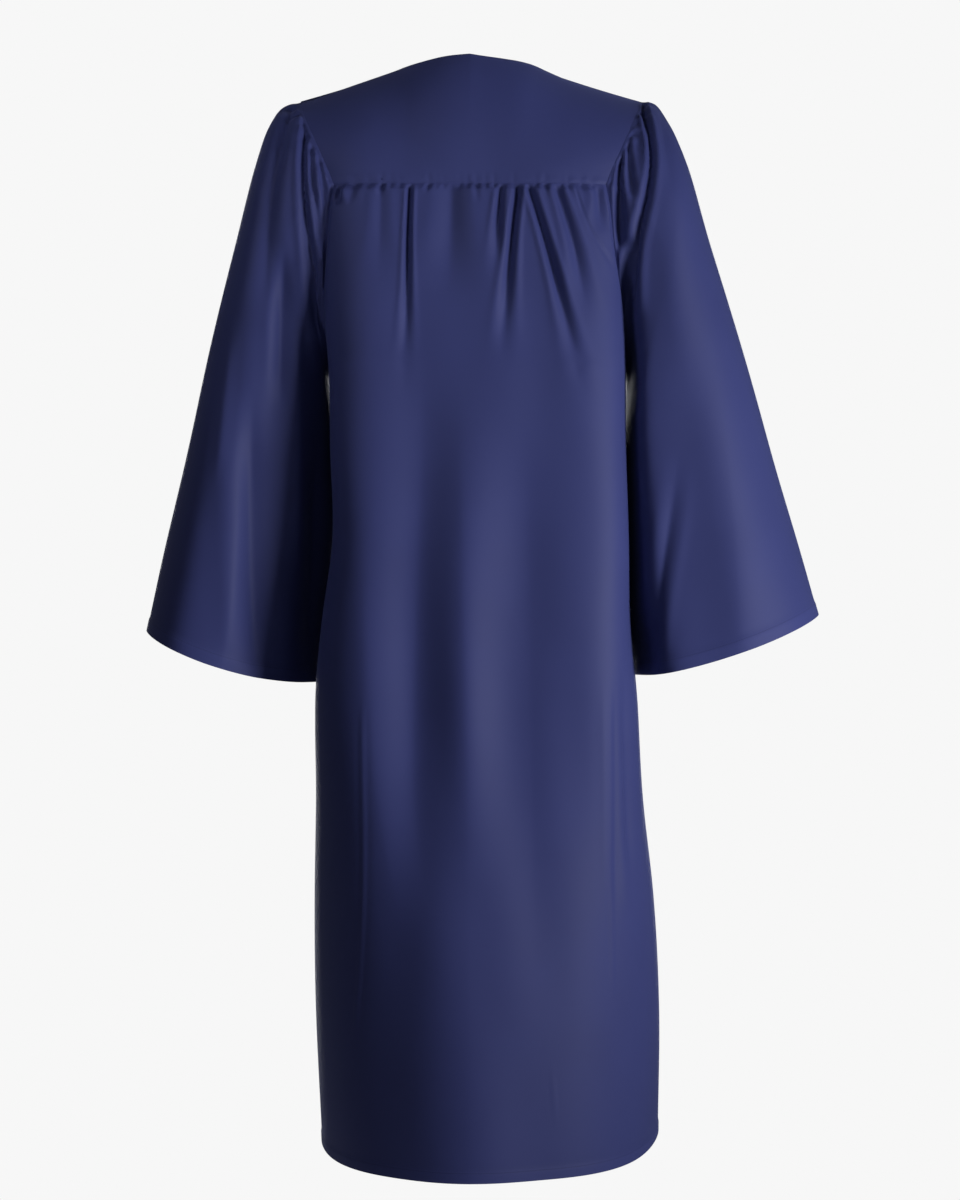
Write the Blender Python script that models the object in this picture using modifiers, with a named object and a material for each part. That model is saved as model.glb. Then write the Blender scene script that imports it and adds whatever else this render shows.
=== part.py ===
"""A graduation gown in the shape it has on a wearer, with nobody in it.

Metres, +Z up. The wearer faces -Y and the wearer's left is +X. The origin is the middle of the line
between the two side neck points, where the shoulders carry the gown.
Every cloth piece is an open surface worked out from sections, then given its thickness by Solidify.
"""

import math
from collections import namedtuple

import bmesh
import bpy
import numpy as np
from mathutils import Matrix, Vector

# Driving sizes
CLOTH = 0.0016
SEAM_GAP = 0.0003
NECK_HALF_WIDTH = 0.077
SHOULDER_HALF_WIDTH = 0.187
NECK_SHARE = NECK_HALF_WIDTH / SHOULDER_HALF_WIDTH
SHOULDER_DROP = 0.0385
SHOULDER_SEAM_Y = -0.012
NAPE_Y = 0.050
NECK_ROUNDNESS = 0.42
YOKE_LEVEL = -0.1430
ARMHOLE_WIDEST_LEVEL = -0.190
UNDERARM_LEVEL = -0.332
ARMHOLE_BACK_Y = 0.090
ARMHOLE_FRONT_Y = -0.070
ARMHOLE_SEAM = 0.0006
SHOULDER_SEAM = 0.0018
HEM_LEVEL = -1.180
HEM_RISE_LEFT = 0.006
HEM_RISE_RIGHT = 0.016
FRONT_ROUNDNESS = 2.3
GATHER_PUFF = 0.0035
FINEST_BACK_FOLD = 0.0050
FINEST_SLEEVE_FOLD = 0.0090
LONGEST_BACK_EDGE = 0.011
LONGEST_FRONT_EDGE = 0.021

# The yoke's curve from the middle to the shoulder tip: how steeply it leaves the shoulder line, and how
# upright it meets the yoke seam
YokeLead = namedtuple("YokeLead", "x slope rise")
YOKE_LEADS = (
    YokeLead(0.000, -0.165, 0.100),
    YokeLead(0.0385, -0.165, 0.094),
    YokeLead(0.055, -0.105, 0.088),
    YokeLead(0.066, -0.040, 0.081),
    YokeLead(0.077, 0.060, 0.073),
    YokeLead(0.100, 0.160, 0.062),
    YokeLead(0.130, 0.200, 0.056),
    YokeLead(0.187, 0.220, 0.052),
)
YOKE_REACH = 0.62
YOKE_SPREAD = 0.022
CROWN_ROUNDNESS = 1.3

# Where folds and gathers fade out towards a seam: lengths, then shares of a panel's width or a sleeve's length
SEAM_FADE = 0.016
GATHER_HOLDS = 0.25
BACK_EDGE_FADE = 0.05
FRONT_PLACKET = 0.0625
FRONT_CENTRE_FADE = 0.14
FRONT_SIDE_FADE = 0.10
SLEEVE_HEAD_FADE = 0.07
SLEEVE_HEAD_BLEND = 0.22
SLEEVE_LINE_FADE = 0.35

ZIP_TOP = -0.1455
ZIP_END = -0.930
ZIP_EDGE = 0.0032
ZIP_SEAM_CLOSES = 0.020
CHAIN_HALF_WIDTH = 0.0027
CHAIN_THICKNESS = 0.0016
CHAIN_SET_BACK = 0.0005
TAPE_OUTER = 0.0140
TAPE_THICKNESS = 0.0010
STOP_LENGTH = 0.0040
STOP_WIDTH = 0.0048
STOP_THICKNESS = 0.0010
SLIDER_LEVEL = -0.1575
SLIDER_LENGTH = 0.0110
SLIDER_WIDTH = 0.0084
SLIDER_PLATE = 0.0012
SLIDER_CORE_WIDTH = 0.0048
SLIDER_LIFT = 0.0005
BAIL_WIRE = 0.0006
BAIL_RADIUS = 0.0031
BAIL_SIDES = 8
BAIL_STEPS = 10
PULL_AXIS_HEIGHT = 0.0013
PULL_THICKNESS = 0.0012
PULL_EYE_HALF_WIDTH = 0.0014

# Heights of the rows of each panel, measured down from the yoke seam
UNDERARM_DROP = 0.189
BACK_DROPS = (
    0.0005, 0.006, 0.014, 0.026, 0.046, 0.072, 0.102, 0.132, 0.158, 0.177, UNDERARM_DROP,
    0.275, 0.375, 0.465, 0.565, 0.675, 0.795, 0.915, 1.037,
)
FRONT_DROPS = (
    0.045, 0.090, 0.130, 0.165, UNDERARM_DROP, 0.275, 0.375, 0.485, 0.605, 0.705, 0.787, 0.807, 0.915, 1.037,
)
FRONT_TOP_ROWS = 6
YOKE_ROWS = 9
YOKE_COLUMNS_BESIDE_NECK = 12
YOKE_COLUMNS_BEHIND_NECK = 19
SLEEVE_RINGS = (0, 0.03, 0.07, 0.12, 0.18, 0.27, 0.40, 0.55, 0.70, 0.85, 1.0)

# Sections of the body below the yoke: half widths to the wearer's left and right, depths behind and in front
Section = namedtuple("Section", "level left right back front back_left back_right back_roundness")
BODY = (
    Section(-0.128, 0.1740, 0.1740, 0.100, 0.104, 0.2150, 0.2150, 3.00),
    Section(-0.200, 0.1750, 0.1760, 0.113, 0.126, 0.1917, 0.1930, 3.00),
    Section(-0.270, 0.1650, 0.1720, 0.121, 0.136, 0.1637, 0.1706, 3.40),
    Section(-0.332, 0.1510, 0.1660, 0.127, 0.140, 0.1510, 0.1660, 3.80),
    Section(-0.420, 0.1490, 0.1670, 0.134, 0.144, 0.1490, 0.1670, 4.00),
    Section(-0.520, 0.1455, 0.1685, 0.142, 0.149, 0.1455, 0.1685, 4.00),
    Section(-0.605, 0.1570, 0.1710, 0.150, 0.154, 0.1570, 0.1710, 3.80),
    Section(-0.680, 0.1665, 0.1800, 0.157, 0.158, 0.1665, 0.1800, 3.50),
    Section(-0.800, 0.1690, 0.1890, 0.168, 0.165, 0.1690, 0.1890, 3.10),
    Section(-0.920, 0.1700, 0.2010, 0.180, 0.173, 0.1700, 0.2010, 2.70),
    Section(-1.050, 0.1680, 0.2065, 0.192, 0.182, 0.1680, 0.2065, 2.45),
    Section(-1.180, 0.1615, 0.2060, 0.203, 0.190, 0.1615, 0.2060, 2.30),
)

# Rings of each sleeve from the armhole to the cuff: outer and inner points, depths, how far the back and
# front of the ring hang below the line between the two points, and how far forward the inner point lies
Ring = namedtuple("Ring", "along outer_x outer_z inner_x inner_z back front dip forward flat")
LEFT_SLEEVE = (
    Ring(0.00, 0.1870, -0.0385, 0.1515, -0.332, 0.092, 0.068, 0.000, 0.000, 0.00),
    Ring(0.06, 0.2060, -0.0460, 0.1555, -0.343, 0.099, 0.082, 0.000, 0.008, 0.00),
    Ring(0.12, 0.2230, -0.0680, 0.1545, -0.357, 0.103, 0.092, 0.000, 0.024, 0.00),
    Ring(0.20, 0.2370, -0.1100, 0.1510, -0.380, 0.106, 0.098, 0.002, 0.042, 0.00),
    Ring(0.34, 0.2596, -0.2000, 0.1480, -0.425, 0.109, 0.100, 0.004, 0.056, 0.00),
    Ring(0.52, 0.2850, -0.3100, 0.1450, -0.485, 0.112, 0.104, 0.006, 0.066, 0.00),
    Ring(0.72, 0.3135, -0.4400, 0.1490, -0.553, 0.118, 0.108, 0.008, 0.072, 0.00),
    Ring(0.87, 0.3360, -0.5350, 0.1570, -0.616, 0.125, 0.112, 0.010, 0.074, 0.00),
    Ring(1.00, 0.3540, -0.6180, 0.1650, -0.676, 0.130, 0.116, 0.011, 0.075, 0.00),
)
RIGHT_SLEEVE = (
    Ring(0.00, 0.1870, -0.0385, 0.1665, -0.332, 0.092, 0.068, 0.000, 0.000, 0.00),
    Ring(0.06, 0.2050, -0.0440, 0.1725, -0.343, 0.099, 0.082, 0.000, 0.008, 0.00),
    Ring(0.12, 0.2205, -0.0675, 0.1732, -0.357, 0.103, 0.092, 0.000, 0.024, 0.15),
    Ring(0.20, 0.2385, -0.1100, 0.1705, -0.380, 0.106, 0.098, 0.002, 0.042, 0.40),
    Ring(0.34, 0.2650, -0.2000, 0.1660, -0.425, 0.109, 0.100, 0.004, 0.056, 0.75),
    Ring(0.52, 0.2980, -0.3100, 0.1650, -0.485, 0.112, 0.104, 0.006, 0.066, 0.95),
    Ring(0.72, 0.3350, -0.4400, 0.1665, -0.553, 0.118, 0.108, 0.007, 0.072, 1.00),
    Ring(0.87, 0.3600, -0.5250, 0.1700, -0.612, 0.125, 0.112, 0.007, 0.074, 1.00),
    Ring(1.00, 0.3810, -0.6000, 0.1770, -0.668, 0.130, 0.116, 0.007, 0.075, 1.00),
)

# Short gathers under the yoke: place along the seam, half width, depth, reach below the seam
Gather = namedtuple("Gather", "x width depth reach")
BACK_GATHERS = (
    Gather(0.122, 0.0050, 0.0030, 0.020),
    Gather(0.107, 0.0045, 0.0020, 0.014),
    Gather(0.093, 0.0045, 0.0035, 0.022),
    Gather(0.077, 0.0045, 0.0020, 0.014),
    Gather(0.043, 0.0045, 0.0030, 0.016),
    Gather(0.031, 0.0045, 0.0020, 0.012),
    Gather(0.006, 0.0045, 0.0020, 0.014),
    Gather(-0.007, 0.0045, 0.0030, 0.026),
    Gather(-0.018, 0.0045, 0.0020, 0.014),
    Gather(-0.027, 0.0045, 0.0030, 0.018),
    Gather(-0.080, 0.0045, 0.0030, 0.020),
    Gather(-0.103, 0.0045, 0.0025, 0.018),
    Gather(-0.120, 0.0050, 0.0025, 0.020),
)

# Long folds: the path seen from behind as (x, z) points from the top down, half width, depth (a trough is
# positive, a ridge negative) and the length over which each end fades out
Fold = namedtuple("Fold", "width depth fade path")
BACK_FOLDS = (
    Fold(0.0065, 0.0070, 0.08, ((0.056, -0.143), (0.063, -0.184), (0.065, -0.275), (0.068, -0.345))),
    Fold(0.0110, 0.0060, 0.10, ((0.019, -0.143), (0.020, -0.223), (0.026, -0.312))),
    Fold(0.0080, 0.0080, 0.05, ((-0.038, -0.143), (-0.030, -0.184), (-0.031, -0.235))),
    Fold(0.0065, 0.0085, 0.08, ((-0.054, -0.143), (-0.048, -0.197), (-0.042, -0.254), (-0.034, -0.320))),
    Fold(0.0075, 0.0085, 0.10, ((-0.061, -0.143), (-0.076, -0.210), (-0.086, -0.262), (-0.116, -0.390))),
    Fold(0.0090, 0.0070, 0.06, ((-0.089, -0.143), (-0.095, -0.192), (-0.112, -0.244), (-0.116, -0.290))),
    Fold(0.0260, 0.0090, 0.12, ((0.042, -0.269), (0.026, -0.396), (0.031, -0.606), (0.030, -0.900))),
    Fold(0.0280, 0.0070, 0.15, ((-0.034, -0.330), (-0.044, -0.550), (-0.060, -0.800), (-0.075, -1.250))),
    Fold(0.0280, -0.0080, 0.16, ((0.100, -0.450), (0.106, -0.668), (0.089, -0.825), (0.032, -0.990))),
    Fold(0.0100, 0.0080, 0.08, ((-0.162, -0.640), (-0.166, -0.750), (-0.172, -0.900))),
)
FRONT_FOLDS = (
    Fold(0.0200, 0.0100, 0.14, ((0.060, -0.260), (0.066, -0.600), (0.076, -1.250))),
    Fold(0.0160, 0.0080, 0.14, ((0.112, -0.300), (0.118, -0.600), (0.126, -1.250))),
    Fold(0.0190, 0.0100, 0.14, ((-0.056, -0.280), (-0.064, -0.600), (-0.078, -1.250))),
    Fold(0.0180, 0.0090, 0.14, ((-0.118, -0.260), (-0.124, -0.600), (-0.144, -1.250))),
)
LEFT_SLEEVE_FOLDS = (
    Fold(0.0070, 0.0090, 0.05, ((0.173, -0.060), (0.176, -0.124), (0.173, -0.200), (0.150, -0.305))),
    Fold(0.0060, 0.0040, 0.05, ((0.196, -0.080), (0.206, -0.130), (0.215, -0.174), (0.216, -0.290))),
    Fold(0.0070, 0.0050, 0.06, ((0.198, -0.200), (0.200, -0.300), (0.202, -0.390))),
    Fold(0.0110, 0.0080, 0.12, ((0.231, -0.340), (0.231, -0.559), (0.218, -0.720))),
    Fold(0.0120, -0.0060, 0.12, ((0.247, -0.400), (0.249, -0.522), (0.254, -0.580), (0.274, -0.720))),
    Fold(0.0120, -0.0060, 0.12, ((0.186, -0.280), (0.186, -0.420), (0.188, -0.600))),
    Fold(0.0130, 0.0080, 0.12, ((0.162, -0.380), (0.164, -0.520), (0.178, -0.720))),
)
RIGHT_SLEEVE_FOLDS = (
    Fold(0.0070, 0.0090, 0.05, ((-0.185, -0.050), (-0.193, -0.107), (-0.190, -0.160), (-0.160, -0.290))),
    Fold(0.0060, 0.0060, 0.04, ((-0.163, -0.100), (-0.157, -0.140), (-0.155, -0.215))),
    Fold(0.0100, 0.0060, 0.10, ((-0.232, -0.400), (-0.215, -0.497), (-0.200, -0.581), (-0.180, -0.720))),
    Fold(0.0100, -0.0040, 0.10, ((-0.200, -0.400), (-0.196, -0.520), (-0.188, -0.620))),
    Fold(0.0120, -0.0050, 0.14, ((-0.275, -0.330), (-0.286, -0.450), (-0.300, -0.720))),
)
SLEEVE_FRONT_FOLDS = (
    Fold(0.0080, 0.0070, 0.05, ((0.188, -0.055), (0.190, -0.120), (0.178, -0.210), (0.164, -0.290))),
    Fold(0.0120, 0.0070, 0.12, ((0.232, -0.240), (0.244, -0.420), (0.258, -0.720))),
    Fold(0.0120, 0.0060, 0.12, ((0.200, -0.330), (0.204, -0.520), (0.212, -0.720))),
)

# Outline of the pull tab: distance down from its hinge line and half width there. The eye fills the second gap
PullRow = namedtuple("PullRow", "down half_width")
PULL_ROWS = (
    PullRow(-0.0007, 0.0022),
    PullRow(0.0007, 0.0026),
    PullRow(0.0040, 0.0028),
    PullRow(0.0065, 0.0026),
    PullRow(0.0200, 0.0030),
    PullRow(0.0235, 0.0027),
    PullRow(0.0250, 0.0017),
)


def ease(share):
    """0 to 1 with level ends."""
    share = np.clip(share, 0.0, 1.0)
    return share * share * (3 - 2 * share)


def smooth_read(knots, values, at):
    """A smooth curve through rising knots and their values, read at each place."""
    knots, values = np.asarray(knots, float), np.asarray(values, float)
    at = np.clip(np.asarray(at, float), knots[0], knots[-1])
    slope = np.gradient(values, knots)
    i = np.clip(np.searchsorted(knots, at, side="right") - 1, 0, len(knots) - 2)
    step = knots[i + 1] - knots[i]
    s = (at - knots[i]) / step
    return (
        values[i] * (1 + 2 * s) * (1 - s) ** 2
        + values[i + 1] * s**2 * (3 - 2 * s)
        + slope[i] * step * s * (1 - s) ** 2
        - slope[i + 1] * step * s**2 * (1 - s)
    )


def column(table, name, knot, at):
    """One named column of a table of sections, read smoothly against its knot column."""
    rows = sorted(table, key=lambda row: getattr(row, knot))
    return smooth_read([getattr(row, knot) for row in rows], [getattr(row, name) for row in rows], at)


def lengths_along(points):
    """Distance from the start of a polyline to each of its points."""
    return np.concatenate([[0.0], np.cumsum(np.linalg.norm(np.diff(points, axis=0), axis=1))])


def spread(points, shares):
    """Points of a polyline at these shares of its length."""
    length = lengths_along(points)
    at = np.asarray(shares) * length[-1]
    return np.stack([np.interp(at, length, points[:, k]) for k in range(3)], axis=1)


def section(level, turns):
    """Points of the body's section at a level. Turn 0 is centre back, a quarter turn the wearer's left side."""
    at = {name: float(column(BODY, name, "level", level)) for name in Section._fields[1:]}
    sine, cosine = np.sin(turns), np.cos(turns)
    behind = cosine > 0
    left = np.where(behind, at["back_left"], at["left"])
    right = np.where(behind, at["back_right"], at["right"])
    power = 2 / np.where(behind, at["back_roundness"], FRONT_ROUNDNESS)
    x = np.where(sine > 0, left, right) * np.sign(sine) * np.abs(sine) ** power
    y = np.where(behind, at["back"], at["front"]) * np.sign(cosine) * np.abs(cosine) ** power
    return np.stack([x, y, np.full_like(x, level)], axis=1)


def armhole_turn(level, front):
    """The turn at which the armhole cuts the body's section: a quarter turn at the underarm and below it."""
    drop = np.clip((ARMHOLE_WIDEST_LEVEL - level) / (ARMHOLE_WIDEST_LEVEL - UNDERARM_LEVEL), 0, 1)
    depth = (abs(ARMHOLE_FRONT_Y) if front else ARMHOLE_BACK_Y) * math.sqrt(1 - drop**2)
    deep = float(column(BODY, "front" if front else "back", "level", level))
    roundness = FRONT_ROUNDNESS if front else float(column(BODY, "back_roundness", "level", level))
    from_middle = math.acos((depth / deep) ** (roundness / 2))
    return math.pi - from_middle if front else from_middle


def back_row(level, shares):
    """The back panel at a level, from the wearer's right (share 0) to left (share 1)."""
    turn = armhole_turn(level, front=False)
    fine = section(level, np.linspace(-turn, turn, 401))
    trim = SEAM_GAP / lengths_along(fine)[-1]
    return spread(fine, trim + (1 - 2 * trim) * np.asarray(shares))


def front_row(level, side, shares, edge):
    """A front at a level, from its centre edge to the armhole or side seam. side is 1 on the wearer's left."""
    turn = armhole_turn(level, front=True)
    fine = section(level, side * np.linspace(math.pi, turn, 301))
    length = lengths_along(fine)[-1]
    start, end = edge / length, 1 - SEAM_GAP / length
    return spread(fine, start + (end - start) * np.asarray(shares))


def bezier(start, start_lead, end_lead, end, shares):
    """Cubic curve from start to end. The leads are the offsets of its two inner control points."""
    s = np.asarray(shares)[:, None]
    one, two = start + start_lead, end + end_lead
    return start * (1 - s) ** 3 + 3 * one * s * (1 - s) ** 2 + 3 * two * s**2 * (1 - s) + end * s**3


def shoulder_line(x):
    """Height of the shoulder line, carried on in a low crown between the side neck points."""
    slope, far = SHOULDER_DROP / (SHOULDER_HALF_WIDTH - NECK_HALF_WIDTH), abs(x)
    if far >= NECK_HALF_WIDTH:
        return slope * (NECK_HALF_WIDTH - far)
    return slope * NECK_HALF_WIDTH * (1 - (far / NECK_HALF_WIDTH) ** CROWN_ROUNDNESS) / CROWN_ROUNDNESS


def neckline(x):
    """How far back the yoke is cut away at x."""
    inside = max(0.0, 1 - (x / NECK_HALF_WIDTH) ** 2)
    return SHOULDER_SEAM_Y + (NAPE_Y - SHOULDER_SEAM_Y) * inside**NECK_ROUNDNESS


def yoke_column(across, shares):
    """The yoke from its neckline or shoulder seam down to the yoke seam. across runs from -1 to 1."""
    x = SHOULDER_HALF_WIDTH * across
    start = np.array([x, SHOULDER_SEAM_Y, shoulder_line(x)])
    end = back_row(YOKE_LEVEL, [(across + 1) / 2])[0] + np.array([0, 0, SEAM_GAP])
    reach = (end[1] - start[1]) * YOKE_REACH
    slope, rise = (float(column(YOKE_LEADS, name, "x", abs(x))) for name in ("slope", "rise"))
    start_lead = np.array([0, reach, -slope * reach])
    end_lead = np.array([YOKE_SPREAD * across**3, -0.003, rise])
    along = np.linspace(0, 1, 201)
    whole = bezier(start, start_lead, end_lead, end, along)
    cut = np.interp(neckline(x), whole[:, 1], along)
    return bezier(start, start_lead, end_lead, end, cut + (1 - cut) * np.asarray(shares))


def front_top_column(side, share, shares):
    """A front from the shoulder seam down to the level of the V's foot. share 0 is the V neck's edge."""
    x = NECK_HALF_WIDTH + (SHOULDER_HALF_WIDTH - NECK_HALF_WIDTH) * share
    start = np.array([side * x, SHOULDER_SEAM_Y - SHOULDER_SEAM, -SHOULDER_DROP * share])
    end = front_row(YOKE_LEVEL, side, [share], ZIP_EDGE)[0]
    outward = ease(share * 2)
    start_lead = np.array([-side * 0.018 * (1 - outward), -0.034, -0.005])
    end_lead = np.array([side * (0.020 * (1 - outward) + 0.014 * share**3), 0.010, 0.042])
    return bezier(start, start_lead, end_lead, end, shares)


def centre_edge(level):
    """How far a front's centre edge stands off the middle: clear of the zip, then closed in a seam below it."""
    closing = ease((ZIP_END - level) / ZIP_SEAM_CLOSES)
    return ZIP_EDGE + (0.7 * SEAM_GAP - ZIP_EDGE) * closing


def out_of(grid, closed=False):
    """Unit normals of a grid of points, along down crossed with across."""
    across = np.gradient(grid, axis=1)
    if closed:
        across = np.roll(grid, -1, axis=1) - np.roll(grid, 1, axis=1)
    found = np.cross(np.gradient(grid, axis=0), across)
    return found / np.maximum(np.linalg.norm(found, axis=2, keepdims=True), 1e-12)


def press_of(folds, x, z, finest):
    """How far a table of folds presses the cloth in at each (x, z)."""
    total = np.zeros_like(x)
    for fold in folds:
        path = np.array(fold.path)[::-1]
        middle = smooth_read(path[:, 1], path[:, 0], z)
        low, high = path[0, 1], path[-1, 1]
        top = np.ones_like(z) if abs(high - YOKE_LEVEL) < 0.001 else ease((high - z) / fold.fade)
        strength = top * ease((z - low) / fold.fade)
        width = max(fold.width, finest)
        total += fold.depth * strength * np.exp(-(((x - middle) / width) ** 2))
    return total


def hang_to_hem(grid):
    """Rows below the underarm are moved so that the last one lies on the hem line."""
    x, y, z = grid[:, :, 0], grid[:, :, 1], grid[:, :, 2]
    rise = np.where(x[-1] > 0, HEM_RISE_LEFT, HEM_RISE_RIGHT)
    sideways = (np.abs(x[-1]) / np.maximum(np.hypot(x[-1], y[-1]), 1e-6)) ** 9
    share = ease((UNDERARM_LEVEL - z) / (UNDERARM_LEVEL - HEM_LEVEL))
    grid[:, :, 2] = z + share * (rise * sideways)[None, :]
    return grid


def back_panel():
    """Grid of the back panel, from the yoke seam to the hem."""
    shares = np.linspace(0, 1, 73)
    grid = np.stack([back_row(YOKE_LEVEL - drop, shares) for drop in BACK_DROPS])
    drop = np.array(BACK_DROPS)[:, None] * np.ones(len(shares))
    x, z = grid[:, :, 0], grid[:, :, 2]
    press = press_of(BACK_FOLDS, x, z, FINEST_BACK_FOLD)
    for gather in BACK_GATHERS:
        width = max(gather.width, FINEST_BACK_FOLD)
        press += gather.depth * np.exp(-(((x - gather.x) / width) ** 2)) * (1 - ease(drop / gather.reach))
    puff = GATHER_PUFF * (1 - 0.6 * ease((drop - 0.05) / GATHER_HOLDS))
    from_edge = np.minimum(shares, 1 - shares)
    keep = ease((drop - BACK_DROPS[0]) / SEAM_FADE) * ease(from_edge / BACK_EDGE_FADE)[None, :]
    grid = grid - out_of(grid) * ((puff - press) * keep)[:, :, None]
    return hang_to_hem(grid)


def front_panel(side):
    """Grid of one front, from the shoulder seam to the hem."""
    shares = np.linspace(0, 1, 17)
    down = np.linspace(0, 1, FRONT_TOP_ROWS)
    top = np.stack([front_top_column(side, share, down) for share in shares], axis=1)
    levels = [YOKE_LEVEL - drop for drop in FRONT_DROPS]
    rows = np.stack([front_row(level, side, shares, centre_edge(level)) for level in levels])
    grid = np.concatenate([top, rows])
    press = press_of(FRONT_FOLDS, grid[:, :, 0], grid[:, :, 2], FINEST_BACK_FOLD)
    keep = ease((shares - FRONT_PLACKET) / FRONT_CENTRE_FADE) * ease((1 - shares) / FRONT_SIDE_FADE)
    grid = grid - side * out_of(grid) * (press * keep[None, :])[:, :, None]
    return hang_to_hem(grid)


def divided(points, longest):
    """The points of a polyline with each of its sides divided until none is longer than this."""
    made = [points[:1]]
    for start, end in zip(points[:-1], points[1:]):
        parts = max(1, math.ceil(np.linalg.norm(end - start) / longest))
        made.append(start + (end - start) * (np.arange(1, parts + 1) / parts)[:, None])
    return np.concatenate(made)


def armhole(side, back_edge, front_edge):
    """The armhole as the sleeve is sewn to it: points round it, and the turn of the sleeve's ring at each."""
    yoke_edge = yoke_column(side, np.linspace(0, 1, YOKE_ROWS))
    behind = divided(np.concatenate([yoke_edge, back_edge[1:]]), LONGEST_BACK_EDGE)
    ahead = divided(front_edge, LONGEST_FRONT_EDGE)
    behind[0, 1] = ahead[0, 1] = SHOULDER_SEAM_Y
    turn_behind = math.pi * lengths_along(behind) / lengths_along(behind)[-1]
    turn_ahead = math.pi * (2 - lengths_along(ahead) / lengths_along(ahead)[-1])
    points = np.concatenate([behind[:-1], [[behind[-1, 0], 0, behind[-1, 2]]], ahead[-2:0:-1]])
    return points, np.concatenate([turn_behind, turn_ahead[-2:0:-1]])


def sleeve_ring(table, along, turns):
    """One ring of a sleeve on the +X side. Turn 0 is its outer line, a quarter turn its back."""
    at = {name: float(column(table, name, "along", along)) for name in Ring._fields[1:]}
    inward = np.sin(turns / 2) ** 2
    behind = np.sin(turns) > 0
    x = at["outer_x"] + (at["inner_x"] - at["outer_x"]) * inward
    z = at["outer_z"] + (at["inner_z"] - at["outer_z"]) * inward - at["dip"] * np.sin(turns) ** 2
    pinch = 1.0 + 0.25 * ease((along - 0.2) / 0.6) * (np.cos(turns) > 0)
    round_depth = np.abs(np.sin(turns)) ** pinch
    flat = at["flat"] * (behind & (np.cos(turns) < 0))
    depth = round_depth + flat * (1 - np.cos(turns) ** 4 - round_depth)
    y = np.where(behind, at["back"], -at["front"]) * depth - at["forward"] * inward ** (1 + 7 * at["flat"])
    return np.stack([x, y, z], axis=1)


def sleeve(side, back_edge, front_edge):
    """Grid of a sleeve, rings from the armhole to the cuff."""
    seam, turns = armhole(side, back_edge, front_edge)
    table, folds = (LEFT_SLEEVE, LEFT_SLEEVE_FOLDS) if side > 0 else (RIGHT_SLEEVE, RIGHT_SLEEVE_FOLDS)
    mirror = np.array([side, 1, 1])
    rings = np.stack([sleeve_ring(table, along, turns) for along in SLEEVE_RINGS])
    start = seam * mirror + np.array([ARMHOLE_SEAM, 0, 0])
    fade = 1 - ease(np.array(SLEEVE_RINGS) / SLEEVE_HEAD_BLEND)
    grid = (rings + (start - rings[0])[None, :, :] * fade[:, None, None]) * mirror
    x, z = grid[:, :, 0], grid[:, :, 2]
    behind = press_of(folds, x, z, FINEST_SLEEVE_FOLD)
    ahead = press_of(SLEEVE_FRONT_FOLDS, x * side, z, FINEST_SLEEVE_FOLD)
    from_line = np.minimum(np.abs(turns), np.abs(2 * math.pi - turns))
    from_line = np.minimum(from_line, np.abs(math.pi - turns))
    keep = ease(from_line / SLEEVE_LINE_FADE)[None, :]
    keep = keep * ease(np.array(SLEEVE_RINGS) / SLEEVE_HEAD_FADE)[:, None]
    press = np.where(turns[None, :] < math.pi, behind, ahead) * keep
    return grid - side * out_of(grid, closed=True) * press[:, :, None]


def material(name, colour, roughness, metallic=0.0):
    """A plain surface of one colour."""
    made = bpy.data.materials.new(name)
    made.use_nodes = True
    shader = made.node_tree.nodes["Principled BSDF"]
    shader.inputs["Base Color"].default_value = (*colour, 1)
    shader.inputs["Roughness"].default_value = roughness
    shader.inputs["Metallic"].default_value = metallic
    return made


def place(name, shape, surface):
    """The shape built so far, as an object of the gown."""
    mesh = bpy.data.meshes.new(name)
    shape.to_mesh(mesh)
    shape.free()
    mesh.materials.append(surface)
    piece = bpy.data.objects.new(name, mesh)
    gown.objects.link(piece)
    return piece


def cloth_piece(name, grid, surface, flip, closed=False, thickness=CLOTH):
    """An open grid of points made into a piece of cloth, with its thickness on the inner side."""
    rows, columns = grid.shape[:2]
    shape = bmesh.new()
    corners = [[shape.verts.new(point) for point in row] for row in grid]
    for i in range(rows - 1):
        for j in range(columns if closed else columns - 1):
            k = (j + 1) % columns
            face = [corners[i][j], corners[i][k], corners[i + 1][k], corners[i + 1][j]]
            shape.faces.new(face[::-1] if flip else face)
    bmesh.ops.triangulate(shape, faces=shape.faces[:])
    piece = place(name, shape, surface)
    piece.data.shade_smooth()
    wall = piece.modifiers.new("cloth", "SOLIDIFY")
    wall.thickness = thickness
    wall.offset = -1
    return piece


def zip_rows(grid, side):
    """The zip's rows on one front: centre edge point, direction across the front, outward normal."""
    levels = grid[:, 0, 2]
    at = np.concatenate([[ZIP_TOP], [z for z in levels if ZIP_END + 0.001 < z < ZIP_TOP - 0.001], [ZIP_END]])
    order = np.argsort(levels)
    edge = np.stack([np.interp(at, levels[order], grid[order, 0, k]) for k in range(3)], axis=1)
    beside = np.stack([np.interp(at, levels[order], grid[order, 1, k]) for k in range(3)], axis=1)
    across = beside - edge
    across /= np.linalg.norm(across, axis=1, keepdims=True)
    outward = side * np.cross(np.gradient(edge, axis=0), across)
    outward /= np.linalg.norm(outward, axis=1, keepdims=True)
    return edge, across, outward


def zip_frame(middle, outward, level):
    """The zip's axes at a height: across it, up it and out of it, from the point level with the cloth's face."""
    order = np.argsort(middle[:, 2])
    point, out = (
        Vector([float(np.interp(level, middle[order, 2], values[order, k])) for k in range(3)])
        for values in (middle, outward)
    )
    out.normalize()
    sideways = Vector((1, 0, 0))
    frame = Matrix((sideways, out.cross(sideways), out)).transposed().to_4x4()
    frame.translation = point
    return frame


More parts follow.
